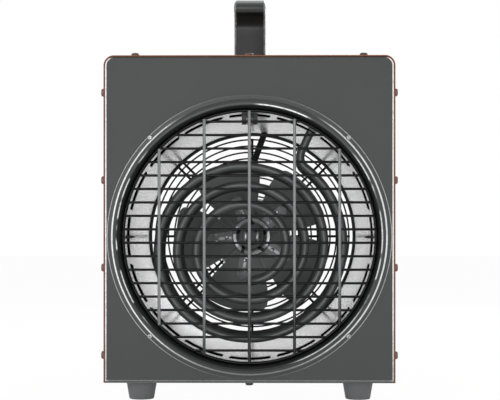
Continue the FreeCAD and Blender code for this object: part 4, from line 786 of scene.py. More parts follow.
def bare(name, tint, rough, cells=80.0, shade=0.12, spread=0.18, bump=0.05, metal=1.0):
    """Metal without a coat."""
    return Finish(name).effect(zinc_spangle(), bump, METAL_RELIEF, Colour=opaque(tint), Cells=cells, Shade=shade,
                               Roughness=rough, Spread=spread).fixed(Metallic=metal)


def lined(name, tint, rough, lines, shade):
    """Metal in layers along Y, such as wound wire or stacked sheets."""
    made = Finish(name, turn=(0.0, 0.0, math.radians(90))).fixed(Metallic=1.0)
    return made.effect(fine_lines(), 0.2, LINE_RELIEF, Colour=opaque(tint), Lines=lines, Shade=shade, Roughness=rough)


def ring_finish(tints, outlet):
    """Grey coat on the flange and the lip, with painted shade that turns it gloss black inside, by the distance from
    the axis and further out towards the lower left; painted highlights on the foot of the lip, its crest and the
    flange's edge."""
    made = coated("ring_coat", tints.ring, 0.30, shade=0.06, spread=0.08, bump=0.05)
    radius, x, up = made.from_axis()
    past_bore = radius - outlet.bore
    beside, rise, turn = abs(x) / radius, up / radius, up.math("ARCTAN2", x)
    low_left = (x / radius + rise) * -math.sqrt(0.5)
    narrow, broad, fade = 0.0024, 0.0043, 0.0005
    crest_at, foot_at, edge_at, edge_end = 0.0032, 0.0079, 0.0120, 0.0125
    # Painted shade: the black inside the ring stands in for shade and dark reflections, and reaches further out
    # towards the lower left.
    shade_reaches = low_left.ramp(-0.4, 0.4, narrow, broad)
    made.mixed_with((past_bore - shade_reaches).below(-fade, fade), tints.ring_inside_shade)
    # Painted highlights: bright lines on the foot of the lip, strongest at the sides and gone at the top; on its crest
    # at the upper and lower right and in short strokes at the sides; and on the flange's edge, strongest at the sides.
    foot = past_bore.band(foot_at, 0.0006, 0.0013) * beside.ramp(0.25, 0.75, 0.5, 1.0) * rise.below(0.80, 0.92)
    high_right = turn.band(*np.radians((75, 10, 14)))
    low_right = turn.band(*np.radians((-52, 14, 24))) * 0.7
    dashes = made.place.noise(60.0, 1.0).ramp(0.44, 0.54, 0.0, 0.8) * beside.ramp(0.72, 0.82)
    crest = past_bore.band(crest_at, 0.0004, 0.0009) * high_right.most(low_right, dashes)
    edge = past_bore.ramp(edge_at, edge_end, 0.0, 0.65) * beside.ramp(0.1, 0.7, 0.3, 1.0)
    return made.worn_and_lit(mixed(232, 233, 234), 1.0, 1.0, foot.most(crest, edge)).lustre(0.08)


def upright_finish(tints):
    """Painted sheen: grey on the upright wires, which stands in for the light they catch on their black coat, fading
    to the black towards their lower ends, sooner on the right.
    """
    made = coated("upright_wire_sheen", tints.bar, 0.34, grain=2400.0)
    x, unused, z = made.parts()
    lean, sheen_gone_z, sheen_full_z = 0.74, -0.084, -0.028
    height = z - AXIS_Z - x.math("MINIMUM", 0.0) * lean
    return made.mixed_with(height.below(sheen_gone_z, sheen_full_z), mixed(22, 23, 23)).lustre(0.3)


def spider_finish(tints, fan):
    """Pressed alloy around a dark hub, with a painted highlight on the hub's rim at two sides and a painted highlight
    along the crease of each arm, broken up by a noise."""
    metal = 0.45
    made = bare("pressed_alloy", tints.alloy, 0.34, cells=60.0, shade=0.9, bump=0.3, metal=metal)
    radius, x, up = made.from_axis()
    off_arm = (up.math("ARCTAN2", x) - fan.first).math("PINGPONG", math.pi / fan.blades) * radius
    hub, boss, rim_highlight_at, arm_at = (0.0215, 0.0232), (0.0166, 0.0178), 0.0198, 0.030
    # Painted highlight along each arm's crease; there the alloy turns from metal to plain so that it stays bright.
    crease = off_arm.band(0.0, 0.0011, 0.0021) * radius.band(arm_at, 0.006, 0.010)
    worn_and_lit = crease * made.place.noise(90.0, 1.0).ramp(0.34, 0.48, 0.3, 1.0)
    made.mixed_with(worn_and_lit, mixed(250, 250, 250)).link("Metallic", worn_and_lit.ramp(0.0, 1.0, metal, 0.0))
    made.mixed_with(radius.below(*hub), mixed(78, 80, 80))
    made.mixed_with(radius.below(*boss), mixed(34, 35, 35))
    # Painted highlight on the hub's rim at the left and right.
    rim = radius.band(rim_highlight_at, 0.0012, 0.0022) * (abs(x) / radius).ramp(0.78, 0.94)
    return made.mixed_with(rim, mixed(158, 159, 161)).lustre(0.1)


def nut_finish(tints):
    """Dark turned nut with a painted highlight streak at two sides."""
    made = bare("hub_nut_steel", tints.nut, 0.34, cells=400.0, shade=0.3, metal=0.5)
    x, unused, z = made.parts()
    highlight_at = 0.0075
    streak = abs(x).band(highlight_at, 0.0010, 0.0017) * z.band(AXIS_Z, 0.0050, 0.0065)
    return made.mixed_with(streak, mixed(190, 192, 193)).lustre(0.1)


def drum_finish(tints):
    """Bright zinc, with painted shade along the cut edges of the slots and the drum's ends, where the metal also turns
    dull.
    """
    made = bare("drum_sheet", tints.drum, 0.24, cells=20.0, shade=0.04, spread=0.02, bump=0.0)
    # Painted shade: near black along the marked cut edges.
    made.worn_and_lit(mixed(10, 10, 10), 1.0, 4.0)
    return made.link("Metallic", made.wear_and_light_mask.ramp(0.0, 1.0, 0.85, 0.0)).lustre(0.0)


def base_finish(tints):
    """Zinc sheet, with painted shade that darkens its cut edges along the front."""
    made = bare("base_sheet", tints.zinc, 0.40, metal=0.85)
    y = made.parts()[1]
    return made.mixed_with(y.below(COVER_LOW.y + 0.0002, COVER_LOW.y + 0.0005), mixed(64, 65, 65))


def screw_finish(tints):
    """Copper-coloured plating, with painted shade: darker on the roof's screws, and dull and dark on those under the
    base.
    """
    made = bare("plated_screw", tints.screw, 0.40, cells=600.0, shade=0.25, metal=0.45)
    z, fade = made.parts()[2], 0.0002
    # Painted shade on the roof's screws and on those under the base.
    made.mixed_with(z.ramp(COVER_HIGH.z - fade, COVER_HIGH.z + fade), mixed(72, 58, 52))
    return made.mixed_with(z.below(COVER_LOW.z - fade, COVER_LOW.z + fade), mixed(52, 50, 49))


def handle_finish(tints):
    """Moulded black, with painted shade below the crown of the grip, darkest under the nose and less dark on the
    posts, and painted highlights along the long edges.
    """
    made = coated("handle_moulding", tints.handle, 0.30, grain=2600.0, bump=0.08)
    height = made.parts()[2] - HANDLE_LOW.z
    crown, post, fade = 0.0490, 0.0350, 0.0010
    # Painted shade: darkest from the top of the posts up to the crown, under the nose, and less dark on the posts.
    made.mixed_with(height.below(crown, crown + fade), mixed(28, 29, 29))
    made.mixed_with(height.below(post, post + fade), mixed(38, 39, 39))
    return made.worn_and_lit(mixed(176, 177, 178), 0.8, 0.5).lustre(0.1)


def knob_finish(tints):
    """Moulded black with a white line on the crown of each grip bar, above its spindle."""
    made = coated("knob_moulding", tints.knob, 0.42, grain=900.0)
    x, y, z = made.parts()
    low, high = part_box("thermostat_knob")
    half_line, line_start, crown = 0.0007, 0.003, 0.0012
    thin = abs(abs(x) - (low.x + high.x) / 2).math("LESS_THAN", half_line)
    above = z.math("GREATER_THAN", (low.z + high.z) / 2 + line_start)
    return made.mixed_with(thin * above * y.math("GREATER_THAN", high.y - crown), tints.mark)


def tube_finish(tints):
    """Jacket of a heating tube, patchy where it has glowed."""
    made = Finish("tube_jacket").fixed(Metallic=0.3).lustre(0.3)
    return made.effect(heat_tint(), 0.18, SCALE_RELIEF, Colour=opaque(tints.tube),
                       Second_Colour=opaque(tints.tube_hot), Roughness=0.36)


def make_finishes(settings):
    """Every finish by its slot."""
    tints = settings.finish
    made = {
        "cover_brown": coated("cover_coat", tints.cover, 0.40, shade=0.14).worn_and_lit(mixed(150, 100, 78), 0.2),
        # Painted highlight: near white on the panel's folds, where the mesh is marked.
        "panel_grey": coated("panel_coat", tints.panel, 0.46).worn_and_lit(mixed(250, 250, 250), 1.0, 1.1),
        "ring_grey": ring_finish(tints, settings.outlet),
        "guard_black": coated("wire_coat", tints.wire, 0.34, grain=2400.0).lustre(DULL),
        "guard_sheen_grey": upright_finish(tints),
        "rear_guard_black": coated("rear_wire_coat", tints.wire, 0.42, grain=2400.0).lustre(DULL),
        "galvanised": bare("zinc_sheet", tints.zinc, 0.40, metal=0.85),
        "drum_zinc": drum_finish(tints),
        "base_zinc": base_finish(tints),
        "element_tube": tube_finish(tints),
        "steel": bare("plain_steel", tints.steel, 0.30, cells=400.0, shade=0.10),
        "ring_screw": bare("ring_screw_plate", tints.ring_screw, 0.36, cells=600.0, shade=0.2, metal=0.7),
        "copper_screw": screw_finish(tints),
        "black_screw": coated("black_screw_coat", tints.black_screw, 0.40, grain=3000.0).fixed(Metallic=0.3),
        "blade_black": coated("blade_coat", tints.blade, 0.40, shade=0.16).lustre(DULL),
        "spider_alloy": spider_finish(tints, settings.fan),
        "hub_nut": nut_finish(tints),
        "motor_grey": coated("motor_coat", tints.motor, 0.45, shade=0.12),
        "copper_winding": lined("wound_copper", tints.winding, 0.34, 260.0, 0.5),
        "lamination": lined("stacked_sheets", tints.lamination, 0.42, 320.0, 0.4),
        "lead_black": coated("lead_sheath", tints.lead, 0.50, grain=1800.0).lustre(DULL),
        "rubber_grey": coated("foot_rubber", tints.rubber, 0.70, grain=1100.0, shade=0.14, spread=0.1, bump=0.25),
        "handle_black": handle_finish(tints),
        "knob_black": knob_finish(tints),
        "control_plastic": coated("control_moulding", tints.control, 0.50, grain=1000.0),
        "button_red": coated("button_moulding", tints.button, 0.36, grain=1200.0),
        "bush_ceramic": coated("bush_glaze", tints.bush, 0.32, grain=700.0, shade=0.08),
        "brass_part": bare("brass_sheet", tints.brass, 0.34, cells=300.0, shade=0.16),
        "dial_mark": coated("dial_print", tints.mark, 0.55, grain=2000.0, shade=0.05),
    }
    for slot, share in (("cover_brown", DULL), ("panel_grey", 0.06), ("black_screw", DULL), ("rubber_grey", 0.2)):
        made[slot].lustre(share)
    return {slot: finish.material for slot, finish in made.items()}


FINISHES = {}


def finish_for(context, slot):
    """Material of a slot; all are made when the first is asked for."""
    if not FINISHES:
        FINISHES.update(make_finishes(context.scene.fan_heater))
    return FINISHES[slot]


# Pieces.

class FANHEATER_OT_casing(bpy.types.Operator):
    """Bend the cover over the top and sides, and fold the front panel"""
    bl_idname = "fan_heater.casing"
    bl_label = "Casing"

    def execute(self, context):
        sizes = context.scene.fan_heater.casing
        self.cover(context, sizes)
        self.panel(context, sizes)
        return {"FINISHED"}

    def cover(self, context, sizes):
        """The outline up one side, over the roof and down the other, carried along Y as a sheet."""
        bend = sizes.cover_corner
        line, side = rounded(front_corners(COVER_LOW, COVER_HIGH), (0, bend, bend, 0), closed=False, steps=14)
        inward = np.array((0.0, sizes.end_row, sizes.second_row))
        along = np.concatenate([COVER_LOW.y + inward, COVER_HIGH.y - inward[::-1]])[:, None]
        grid = stacked(line[:, 0], along, line[:, 1])
        sides = stacked(side[:, 0], along * 0.0, side[:, 1])
        made = Piece().add(*thickened(grid, sides, grid_faces(*grid.shape[:2]), sizes.cover_sheet))
        made.build(context, "cover_skin", "cover_brown", "casing_wrap", soft=sizes.edge)

    def panel(self, context, sizes):
        """Rows round the panel, from the end of the folded flange over the fold's quarter arc and the flat face to the
        opening's circle: each row of the fold is the outline drawn in by f(1 - cos a) at a depth f(1 - sin a)."""
        fold, deep = sizes.panel_fold, PANEL_HIGH.y - PANEL_LOW.y
        bend = sizes.cover_corner - sizes.cover_sheet - sizes.fit
        line, side = rounded(front_corners(PANEL_LOW, PANEL_HIGH), (0, bend, bend, 0), steps=14)
        line, side = self.filled_in(line, side, sizes.division)
        angle = np.linspace(0, math.pi / 2, 9)
        inset = np.concatenate([[0, 0, 0], fold * (1 - np.cos(angle)), [fold + HOLD]])[:, None]
        depth = np.concatenate([[deep, deep - HOLD, fold + HOLD], fold * (1 - np.sin(angle)), [0]])[:, None]
        lean = np.concatenate([[0, 0, 0], angle, [math.pi / 2]])[:, None]
        rows = stacked(line[:, 0] - side[:, 0] * inset, depth + FRONT_Y, line[:, 1] - side[:, 1] * inset)
        outward = line - (0.0, AXIS_Z)
        outward /= np.linalg.norm(outward, axis=1)[:, None]
        radius = sizes.panel_opening + np.array(((sizes.opening_edge,), (0.0,)))
        hole = stacked(outward[:, 0] * radius, FRONT_Y, outward[:, 1] * radius + AXIS_Z)
        points = np.concatenate([rows, hole])
        sides = np.concatenate([stacked(side[:, 0] * np.cos(lean), -np.sin(lean), side[:, 1] * np.cos(lean)),
                                np.broadcast_to((0.0, -1.0, 0.0), hole.shape)])
        shell = thickened(points, sides, grid_faces(*points.shape[:2], False, True), sizes.panel_sheet)
        # Painted highlight on the folds, carried by the edge mark.
        wear_and_light_mask = self.wear_and_light_mask(line, side, np.concatenate([lean, [[math.pi / 2]] * 2]))
        shell[2][:wear_and_light_mask.size] = wear_and_light_mask.ravel()
        Piece().add(*shell).build(context, "front_panel_skin", "panel_grey", "front_panel", soft=sizes.edge)

    @staticmethod
    def wear_and_light_mask(line, side, lean):
        """Painted highlight on the fold: full until the sheet has turned by 62 degrees and gone at 78, along the
        upright edges, less near the floor, and weaker along the lower edge."""
        fade = np.interp(lean, np.radians((0, 62, 78)), (1.0, 1.0, 0.0))
        upright = np.minimum(1.6 * np.abs(side[:, 0]), 1.0) * np.interp(line[:, 1], (0.03, 0.08), (0.75, 1.0))
        return fade * np.maximum(upright, np.maximum(-side[:, 1], 0) * 0.42)

    @staticmethod
    def filled_in(line, side, apart):
        """The closed outline with its long straight runs divided evenly, so that the opening stays round."""
        run = np.roll(line, -1, axis=0) - line
        reach = np.linalg.norm(run, axis=1)
        parts = np.maximum(1, np.round(reach / apart)).astype(int)
        start = np.repeat(np.arange(len(line)), parts)
        share = ((np.arange(parts.sum()) - np.repeat(np.cumsum(parts) - parts, parts)) / parts[start])[:, None]
        plain = np.stack([-run[:, 1], run[:, 0]], axis=-1) / reach[:, None]
        return line[start] + run[start] * share, np.where(share > 0, plain[start], side[start])


class FANHEATER_OT_outlet(bpy.types.Operator):
    """Roll the outlet ring and weld the wire guard"""
    bl_idname = "fan_heater.outlet"
    bl_label = "Outlet"

    def execute(self, context):
        sizes = context.scene.fan_heater.outlet
        self.ring(context, sizes)
        self.guard(context, sizes)
        return {"FINISHED"}

    def ring(self, context, sizes):
        """A rolled profile turned about the axis: flange, rounded lip and the wall inside the opening."""
        sheet, crest, deep = sizes.ring_sheet, RING_LOW.y - FRONT_Y, RING_HIGH.y - FRONT_Y
        bore, lip = sizes.bore, sizes.bore + sizes.lip_width
        flange = lip + sizes.flange_width
        corners = [(0, flange), (-sheet, flange), (-sheet, lip), (crest, lip), (crest, bore), (deep, bore),
                   (deep, bore + sheet), (crest + sheet, bore + sheet), (crest + sheet, lip - sheet),
                   (0, lip - sheet)]
        wide, within, crisp, cut, rolled = sizes.lip_round, sizes.lip_round - sheet, 0.0002, 0.0003, 0.0004
        bends = (crisp, rolled, cut, wide, wide, cut, cut, within, within, crisp)
        profile, unused = rounded(corners, bends, steps=10)
        made = Piece().turned(profile, AXIS, (0, 1, 0), steps=288)
        made.build(context, "outlet_ring_skin", "ring_grey", "outlet_ring")

    def guard(self, context, sizes):
        """A rim hoop, level wires that end on it and upright wires welded before them; a wire at height z ends at
        sqrt(R^2 - z^2)."""
        rim, thin, thick = sizes.rim / 2, sizes.wire / 2, sizes.bar / 2
        outer, depth = sizes.rim_place, sizes.rim_depth
        wire_y = depth - rim - thin + sizes.weld
        bar_y = wire_y - thin - thick + sizes.weld
        wires, bars = Piece(), Piece()
        wires.hoop(AXIS + (0, depth, 0), outer, rim)
        for k in range(sizes.wire_rows):
            z = (k - (sizes.wire_rows - 1) / 2) * sizes.wire_pitch + sizes.wire_lift
            half = math.sqrt(outer ** 2 - z ** 2)
            wires.wire(AXIS + (-half, wire_y, z), AXIS + (half, wire_y, z), thin)
        for k in range(sizes.bars):
            x = (k - (sizes.bars - 1) / 2) * sizes.bar_pitch
            half = math.sqrt((outer - sizes.bar_short) ** 2 - x ** 2)
            bars.wire(AXIS + (x, bar_y, -half), AXIS + (x, bar_y, half), thick, sides=16)
        wires.build(context, "outlet_guard_cross_wires", "guard_black", "outlet_guard")
        bars.build(context, "outlet_guard_upright_wires", "guard_black", "outlet_guard", finish="guard_sheen_grey")


class FANHEATER_OT_drum(bpy.types.Operator):
    """Roll the slotted drum around the heating tubes"""
    bl_idname = "fan_heater.drum"
    bl_label = "Drum"

    def execute(self, context):
        """A cylinder on a grid of angle and depth, without the grid's faces at the slots, thickened inward."""
        sizes = context.scene.fan_heater.heat
        radius = (DRUM_HIGH.x - DRUM_LOW.x) / 2
        front, rear = DRUM_LOW.y - FRONT_Y, DRUM_HIGH.y - FRONT_Y
        half = math.asin(sizes.slot_length / 2 / radius)
        pitch = 2 * math.pi / sizes.slots
        slot, gap, before, behind = 12, 4, 4, 11
        step = np.concatenate([np.linspace(-half, half, slot + 1), np.linspace(half, pitch - half, gap + 1)[1:-1]])
        angles = (np.arange(sizes.slots)[:, None] * pitch + step).ravel()
        first, last = sizes.slot_depth - sizes.slot_width / 2, sizes.slot_depth + sizes.slot_width / 2
        depths = np.concatenate([np.linspace(front, first, before + 1), np.linspace(last, rear, behind + 1)])
        side = np.stack([np.cos(angles), np.zeros_like(angles), np.sin(angles)], axis=-1)
        grid = AXIS + side[None] * radius + depths[:, None, None] * np.array((0.0, 1.0, 0.0))
        sides = np.broadcast_to(side[None], grid.shape)
        quads = grid_faces(len(depths), len(angles), False, True).reshape(len(depths) - 1, len(angles), 4)
        open_here = np.zeros(quads.shape[:2], bool)
        open_here[before] = np.tile(np.arange(len(step)) < slot, sizes.slots)
        made = Piece().add(*thickened(grid, sides, quads[~open_here], sizes.drum_sheet))
        made.build(context, "drum_shell", "galvanised", "heat_drum", finish="drum_zinc")
        return {"FINISHED"}


class Route:
    """Path of lines and arcs that keeps its direction; points are (x, depth, height) from the axis."""

    def __init__(self, at, way):
        self.at, self.way = np.asarray(at, float), np.asarray(way, float)
        self.points = [self.at[None]]

    def line(self, reach):
        """Straight run of points: at + way s."""
        self.points.append(self.at + self.way * np.linspace(0, reach, 7)[1:, None])
        self.at = self.at + self.way * reach

    def bend(self, radius, angle, toward):
        """Arc of an angle: centre + r (way sin a - toward cos a), toward being square to the way."""
        toward = np.asarray(toward, float)
        toward = toward - self.way * (toward @ self.way)
        toward /= np.linalg.norm(toward)
        a = np.linspace(0, angle, max(4, int(math.degrees(angle) / 5)) + 1)[1:, None]
        self.points.append(self.at + toward * radius + radius * (self.way * np.sin(a) - toward * np.cos(a)))
        self.at = self.points[-1][-1]
        self.way = self.way * math.cos(angle) + toward * math.sin(angle)


def run_to(at, way, radius):
    """Length along a level way until the distance from the axis is the radius."""
    flat, way = np.asarray(at)[[0, 2]], np.asarray(way)[[0, 2]]
    along = flat @ way
    return -along + math.sqrt(along ** 2 - flat @ flat + radius ** 2)


class FANHEATER_OT_tubes(bpy.types.Operator):
    """Wind the two heating tubes"""
    bl_idname = "fan_heater.tubes"
    bl_label = "Heating tubes"

    def execute(self, context):
        """A round wire along each path; the lean is a way that no part of a path follows."""
        sizes = context.scene.fan_heater.heat
        lean = np.array((0.52, 0.67, -0.52))
        for k, name in enumerate(("front", "rear")):
            path = self.path(sizes, sizes.spiral_depth + sizes.spiral_step * k)
            made = Piece().swept(AXIS + path, sizes.tube / 2, lean, sides=20)
            made.build(context, f"heating_tube_{name}", "element_tube", f"element_{name}")
        return {"FINISHED"}

    @staticmethod
    def path(sizes, depth):
        """Leg, knee, half turns whose radius falls by half a pitch each, a turn to the rear and the same way back."""
        wall = (DRUM_HIGH.x - DRUM_LOW.x) / 2
        leg_way = np.array((math.cos(sizes.leg_lean), 0, math.sin(sizes.leg_lean)))
        out = np.array((math.cos(sizes.spiral_start), 0, math.sin(sizes.spiral_start)))
        heading = np.array((out[2], 0, -out[0]))
        left = np.array((leg_way[2], 0, -leg_way[0]))
        join = np.array((-sizes.spiral_shift, depth, -sizes.spiral_drop)) + out * sizes.spiral_outer
        knee = join + (out - left) * sizes.leg_bend
        reach = run_to(knee, leg_way, wall) + sizes.leg_reach
        sweep = math.acos(float(-leg_way @ heading))
        halves = 2 * sizes.spiral_turns
        pitch = (sizes.spiral_outer - sizes.spiral_inner) / sizes.spiral_turns
        arcs = [(sizes.spiral_outer - pitch / 2 * k, math.pi * min(halves - k, 1.0))
                for k in range(math.ceil(halves))]
        route = Route(knee + leg_way * reach, -leg_way)
        route.line(reach)
        route.bend(sizes.leg_bend, sweep, left)
        for radius, angle in arcs:
            route.bend(radius, angle, (route.way[2], 0, -route.way[0]))
        ahead = route.way
        route.bend(sizes.spiral_step / 4, math.pi / 2, (0, 1, 0))
        route.bend(sizes.spiral_step / 4, math.pi / 2, -ahead)
        for radius, angle in reversed(arcs):
            route.bend(radius, angle, (-route.way[2], 0, route.way[0]))
        route.bend(sizes.leg_bend, sweep, out)
        route.line(reach)
        return np.concatenate(route.points)


class FANHEATER_OT_fan(bpy.types.Operator):
    """Press the fan blades and set their rivets"""
    bl_idname = "fan_heater.fan"
    bl_label = "Fan"

    def execute(self, context):
        """A blade is a patch of a cylinder of the camber's radius: at height z beside the blade's line its depth is
        cy + sqrt(c^2 - (z - cz)^2), with the cylinder's centre set so that the slope on the line is the pitch. The
        edges ahead and behind are angles from the line by radius, trimmed towards the tip to round its corners."""
        sizes = context.scene.fan_heater.fan
        cy = sizes.plane - sizes.camber * math.cos(sizes.pitch)
        cz = sizes.camber * math.sin(sizes.pitch)
        tip, root, even, square, cut = sizes.tip, sizes.root, 0.93, 0.955, 3.2
        radii = np.concatenate([np.linspace(root, tip * even, 18),
                                tip * (1 - (1 - even) * (1 - np.linspace(0.2, 1, 6)) ** 2)])
        ahead = np.interp(radii, (root, root * 1.7, tip * 0.72, tip * 0.9, tip), (30, 33, 31, 28, 24.6))
        behind = np.interp(radii, (root, root * 1.7, tip * 0.7, tip * 0.9, tip), (-30, -32, -31, -29, -26.8))
        trim = np.clip((radii / tip - square) / (1 - square), 0, 1) ** 2 * cut
        share = np.linspace(0, 1, 23)
        angles = np.radians((behind + trim)[:, None] + ((ahead - trim) - (behind + trim))[:, None] * share)
        x, z = radii[:, None] * np.cos(angles), radii[:, None] * np.sin(angles)
        y = cy + np.sqrt(sizes.camber ** 2 - (z - cz) ** 2)
        patch = np.stack([x, y, z], axis=-1)
        side = np.stack([np.zeros_like(x), y - cy, z - cz], axis=-1) / sizes.camber
        points, faces, rub = thickened(patch, side, grid_faces(*x.shape), sizes.sheet)
        blades, rivets = Piece(), Piece()
        inner = sizes.camber - sizes.sheet - sizes.arm_sheet
        bow = np.linspace(0, math.pi / 2, 6)
        dome = np.stack([sizes.rivet_height * np.cos(bow), sizes.rivet * np.sin(bow)], axis=-1)
        dome = np.concatenate([dome, [(-sizes.rivet_sink, sizes.rivet), (-sizes.rivet_sink, 0.0)]])
        places = [(sizes.rivet_inner, 0.0)] + [(sizes.rivet_outer, hand * sizes.rivet_aside) for hand in (1, -1)]
        for k in range(sizes.blades):
            spin = spun(sizes.first + 2 * math.pi * k / sizes.blades)
            blades.add(points @ spin + AXIS, faces, rub)
            for rx, rz in places:
                outward = np.array((0.0, math.sqrt(inner ** 2 - (rz - cz) ** 2), rz - cz)) / inner
                seat = np.array((rx, cy, cz)) + outward * inner
                rivets.turned(dome, seat @ spin + AXIS, -outward @ spin, steps=16)
        blades.build(context, "fan_blades_pressed", "blade_black", "fan_blades", body="fan")
        rivets.build(context, "fan_rivets", "steel", body="fan")
        return {"FINISHED"}


class FANHEATER_OT_rear_guard(bpy.types.Operator):
    """Weld the rear guard of rings and spokes"""
    bl_idname = "fan_heater.rear_guard"
    bl_label = "Rear guard"

    def execute(self, context):
        """Ring wires behind the spokes; every second spoke is double and ends in a half circle."""
        sizes = context.scene.fan_heater.rear_guard
        thick, thin = sizes.spoke / 2, sizes.ring / 2
        y = REAR_Y - FRONT_Y + sizes.gap + thick
        outer = sizes.inlet + sizes.lap
        made = Piece()
        bow = np.linspace(-math.pi / 2, math.pi / 2, 17)
        loop = np.stack([outer + sizes.pair * np.cos(bow), np.full_like(bow, y), sizes.pair * np.sin(bow)], axis=-1)
        ends = np.array(((sizes.inner_end, y, -sizes.pair), (sizes.inner_end, y, sizes.pair)))
        loop = np.concatenate([ends[:1], loop, ends[1:]])
        plain = np.array(((sizes.inner_end, y, 0.0), (sizes.inlet - sizes.spoke_short, y, 0.0)))
        for k in range(sizes.spokes):
            spin = spun(2 * math.pi * k / sizes.spokes)
            made.swept((loop if k % 2 else plain) @ spin + AXIS, thick, (0.0, 1.0, 0.0))
        middle = AXIS + (0, y + thick + thin - sizes.weld, 0)
        for k in range(sizes.rings):
            radius = sizes.inlet - sizes.first_ring - sizes.ring_pitch * k
            made.hoop(middle, radius, thin, steps=120, sides=10)
        made.build(context, "rear_guard_wires", "rear_guard_black", "rear_guard")
        return {"FINISHED"}


class FANHEATER_OT_handle(bpy.types.Operator):
    """Mould the carrying handle"""
    bl_idname = "fan_heater.handle"
    bl_label = "Handle"

    def execute(self, context):
        """The side view's outline, an outer chain of arcs and an inner one, carried across the width; near each side
        it is drawn in by r (1 - cos a) while the width grows by r sin a, which rounds the long edges. The tip is the
        nose's centre from the middle: half the depth of the solid less the nose's round."""
        sizes = context.scene.fan_heater.handle
        half, edge = (HANDLE_HIGH.x - HANDLE_LOW.x) / 2, sizes.edge
        nose, tip_r, corner = sizes.nose, sizes.nose_round, sizes.corner
        tip = (HANDLE_HIGH.y - HANDLE_LOW.y) / 2 - tip_r
        leg = tip - nose
        inner, low = leg - sizes.leg, sizes.neck + nose
        crown = tip + tip_r * math.sin(sizes.top_slope)
        high = low + tip_r * (1 + math.cos(sizes.top_slope))
        top_bend = crown / math.sin(sizes.top_slope)
        span = inner - corner * (1 - math.sin(sizes.under_slope))
        under = sizes.finger_neck + corner * math.cos(sizes.under_slope)
        under_bend = span / math.sin(sizes.under_slope)
        outer, outer_side = arc_chain([((-leg, 0), None), ((-leg, sizes.neck), (nose, 1)), ((-tip, low), (tip_r, -1)),
                                       ((-crown, high), (top_bend, -1)), ((crown, high), (tip_r, -1)),
                                       ((tip, low), (nose, 1)), ((leg, sizes.neck), None), ((leg, 0), None)])
        within, within_side = arc_chain([((inner, 0), None), ((inner, sizes.finger_neck), (corner, 1)),
                                         ((span, under), (under_bend, 1)), ((-span, under), (corner, 1)),
                                         ((-inner, sizes.finger_neck), None), ((-inner, 0), None)])
        line, side = np.concatenate([outer, within]), np.concatenate([outer_side, within_side])
        angle = np.linspace(0, math.pi / 2, 8)
        inset = np.concatenate([edge * (1 - np.cos(angle)), [edge + HOLD]])
        across = np.concatenate([half - edge + edge * np.sin(angle), [half]])
        inset = np.concatenate([inset[::-1], inset])[:, None]
        across = np.concatenate([-across[::-1], across])[:, None]
        middle = (HANDLE_LOW.y + HANDLE_HIGH.y) / 2
        grid = stacked(across, line[:, 0] - side[:, 0] * inset + middle,
                       line[:, 1] - side[:, 1] * inset + HANDLE_LOW.z)
        rows, columns = grid.shape[:2]
        caps = [np.arange(columns), np.arange(columns)[::-1] + (rows - 1) * columns]
        # Painted highlight along the rounded long edges, strongest halfway round each rounding.
        shine = np.concatenate([np.sin(2 * angle), [0.0]])
        rub = np.repeat(np.concatenate([shine[::-1], shine]), columns)
        made = Piece().add(grid, grid_faces(rows, columns, False, True), rub, caps=caps)
        made.build(context, "handle_moulded", "handle_black", "handle")
        return {"FINISHED"}


class FANHEATER_OT_feet(bpy.types.Operator):
    """Mould the rubber feet"""
    bl_idname = "fan_heater.feet"
    bl_label = "Feet"

    def execute(self, context):
        """A tapered profile with a screw well, turned about each foot's upright line; each corner has a height, a
        radius and a rounding."""
        sizes = context.scene.fan_heater.fixing
        well, deep = sizes.foot_well, sizes.foot_well_depth
        for node in ("foot_front_left", "foot_front_right", "foot_rear_left", "foot_rear_right"):
            low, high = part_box(node)
            tall = high.z - low.z
            corners = ((0, well, 0.0005), (0, sizes.foot_end, 0.0012), (tall, sizes.foot_top, 0.0007),
                       (tall, sizes.foot_bore, 0.0), (deep, sizes.foot_bore, 0.0), (deep, well, 0.0006))
            profile, unused = rounded([corner[:2] for corner in corners], [corner[2] for corner in corners], steps=6)
            at = ((low.x + high.x) / 2, (low.y + high.y) / 2, low.z)
            made = Piece().turned(profile, at, (0, 0, 1), steps=72)
            made.build(context, f"{node}_rubber", "rubber_grey", node)
        return {"FINISHED"}


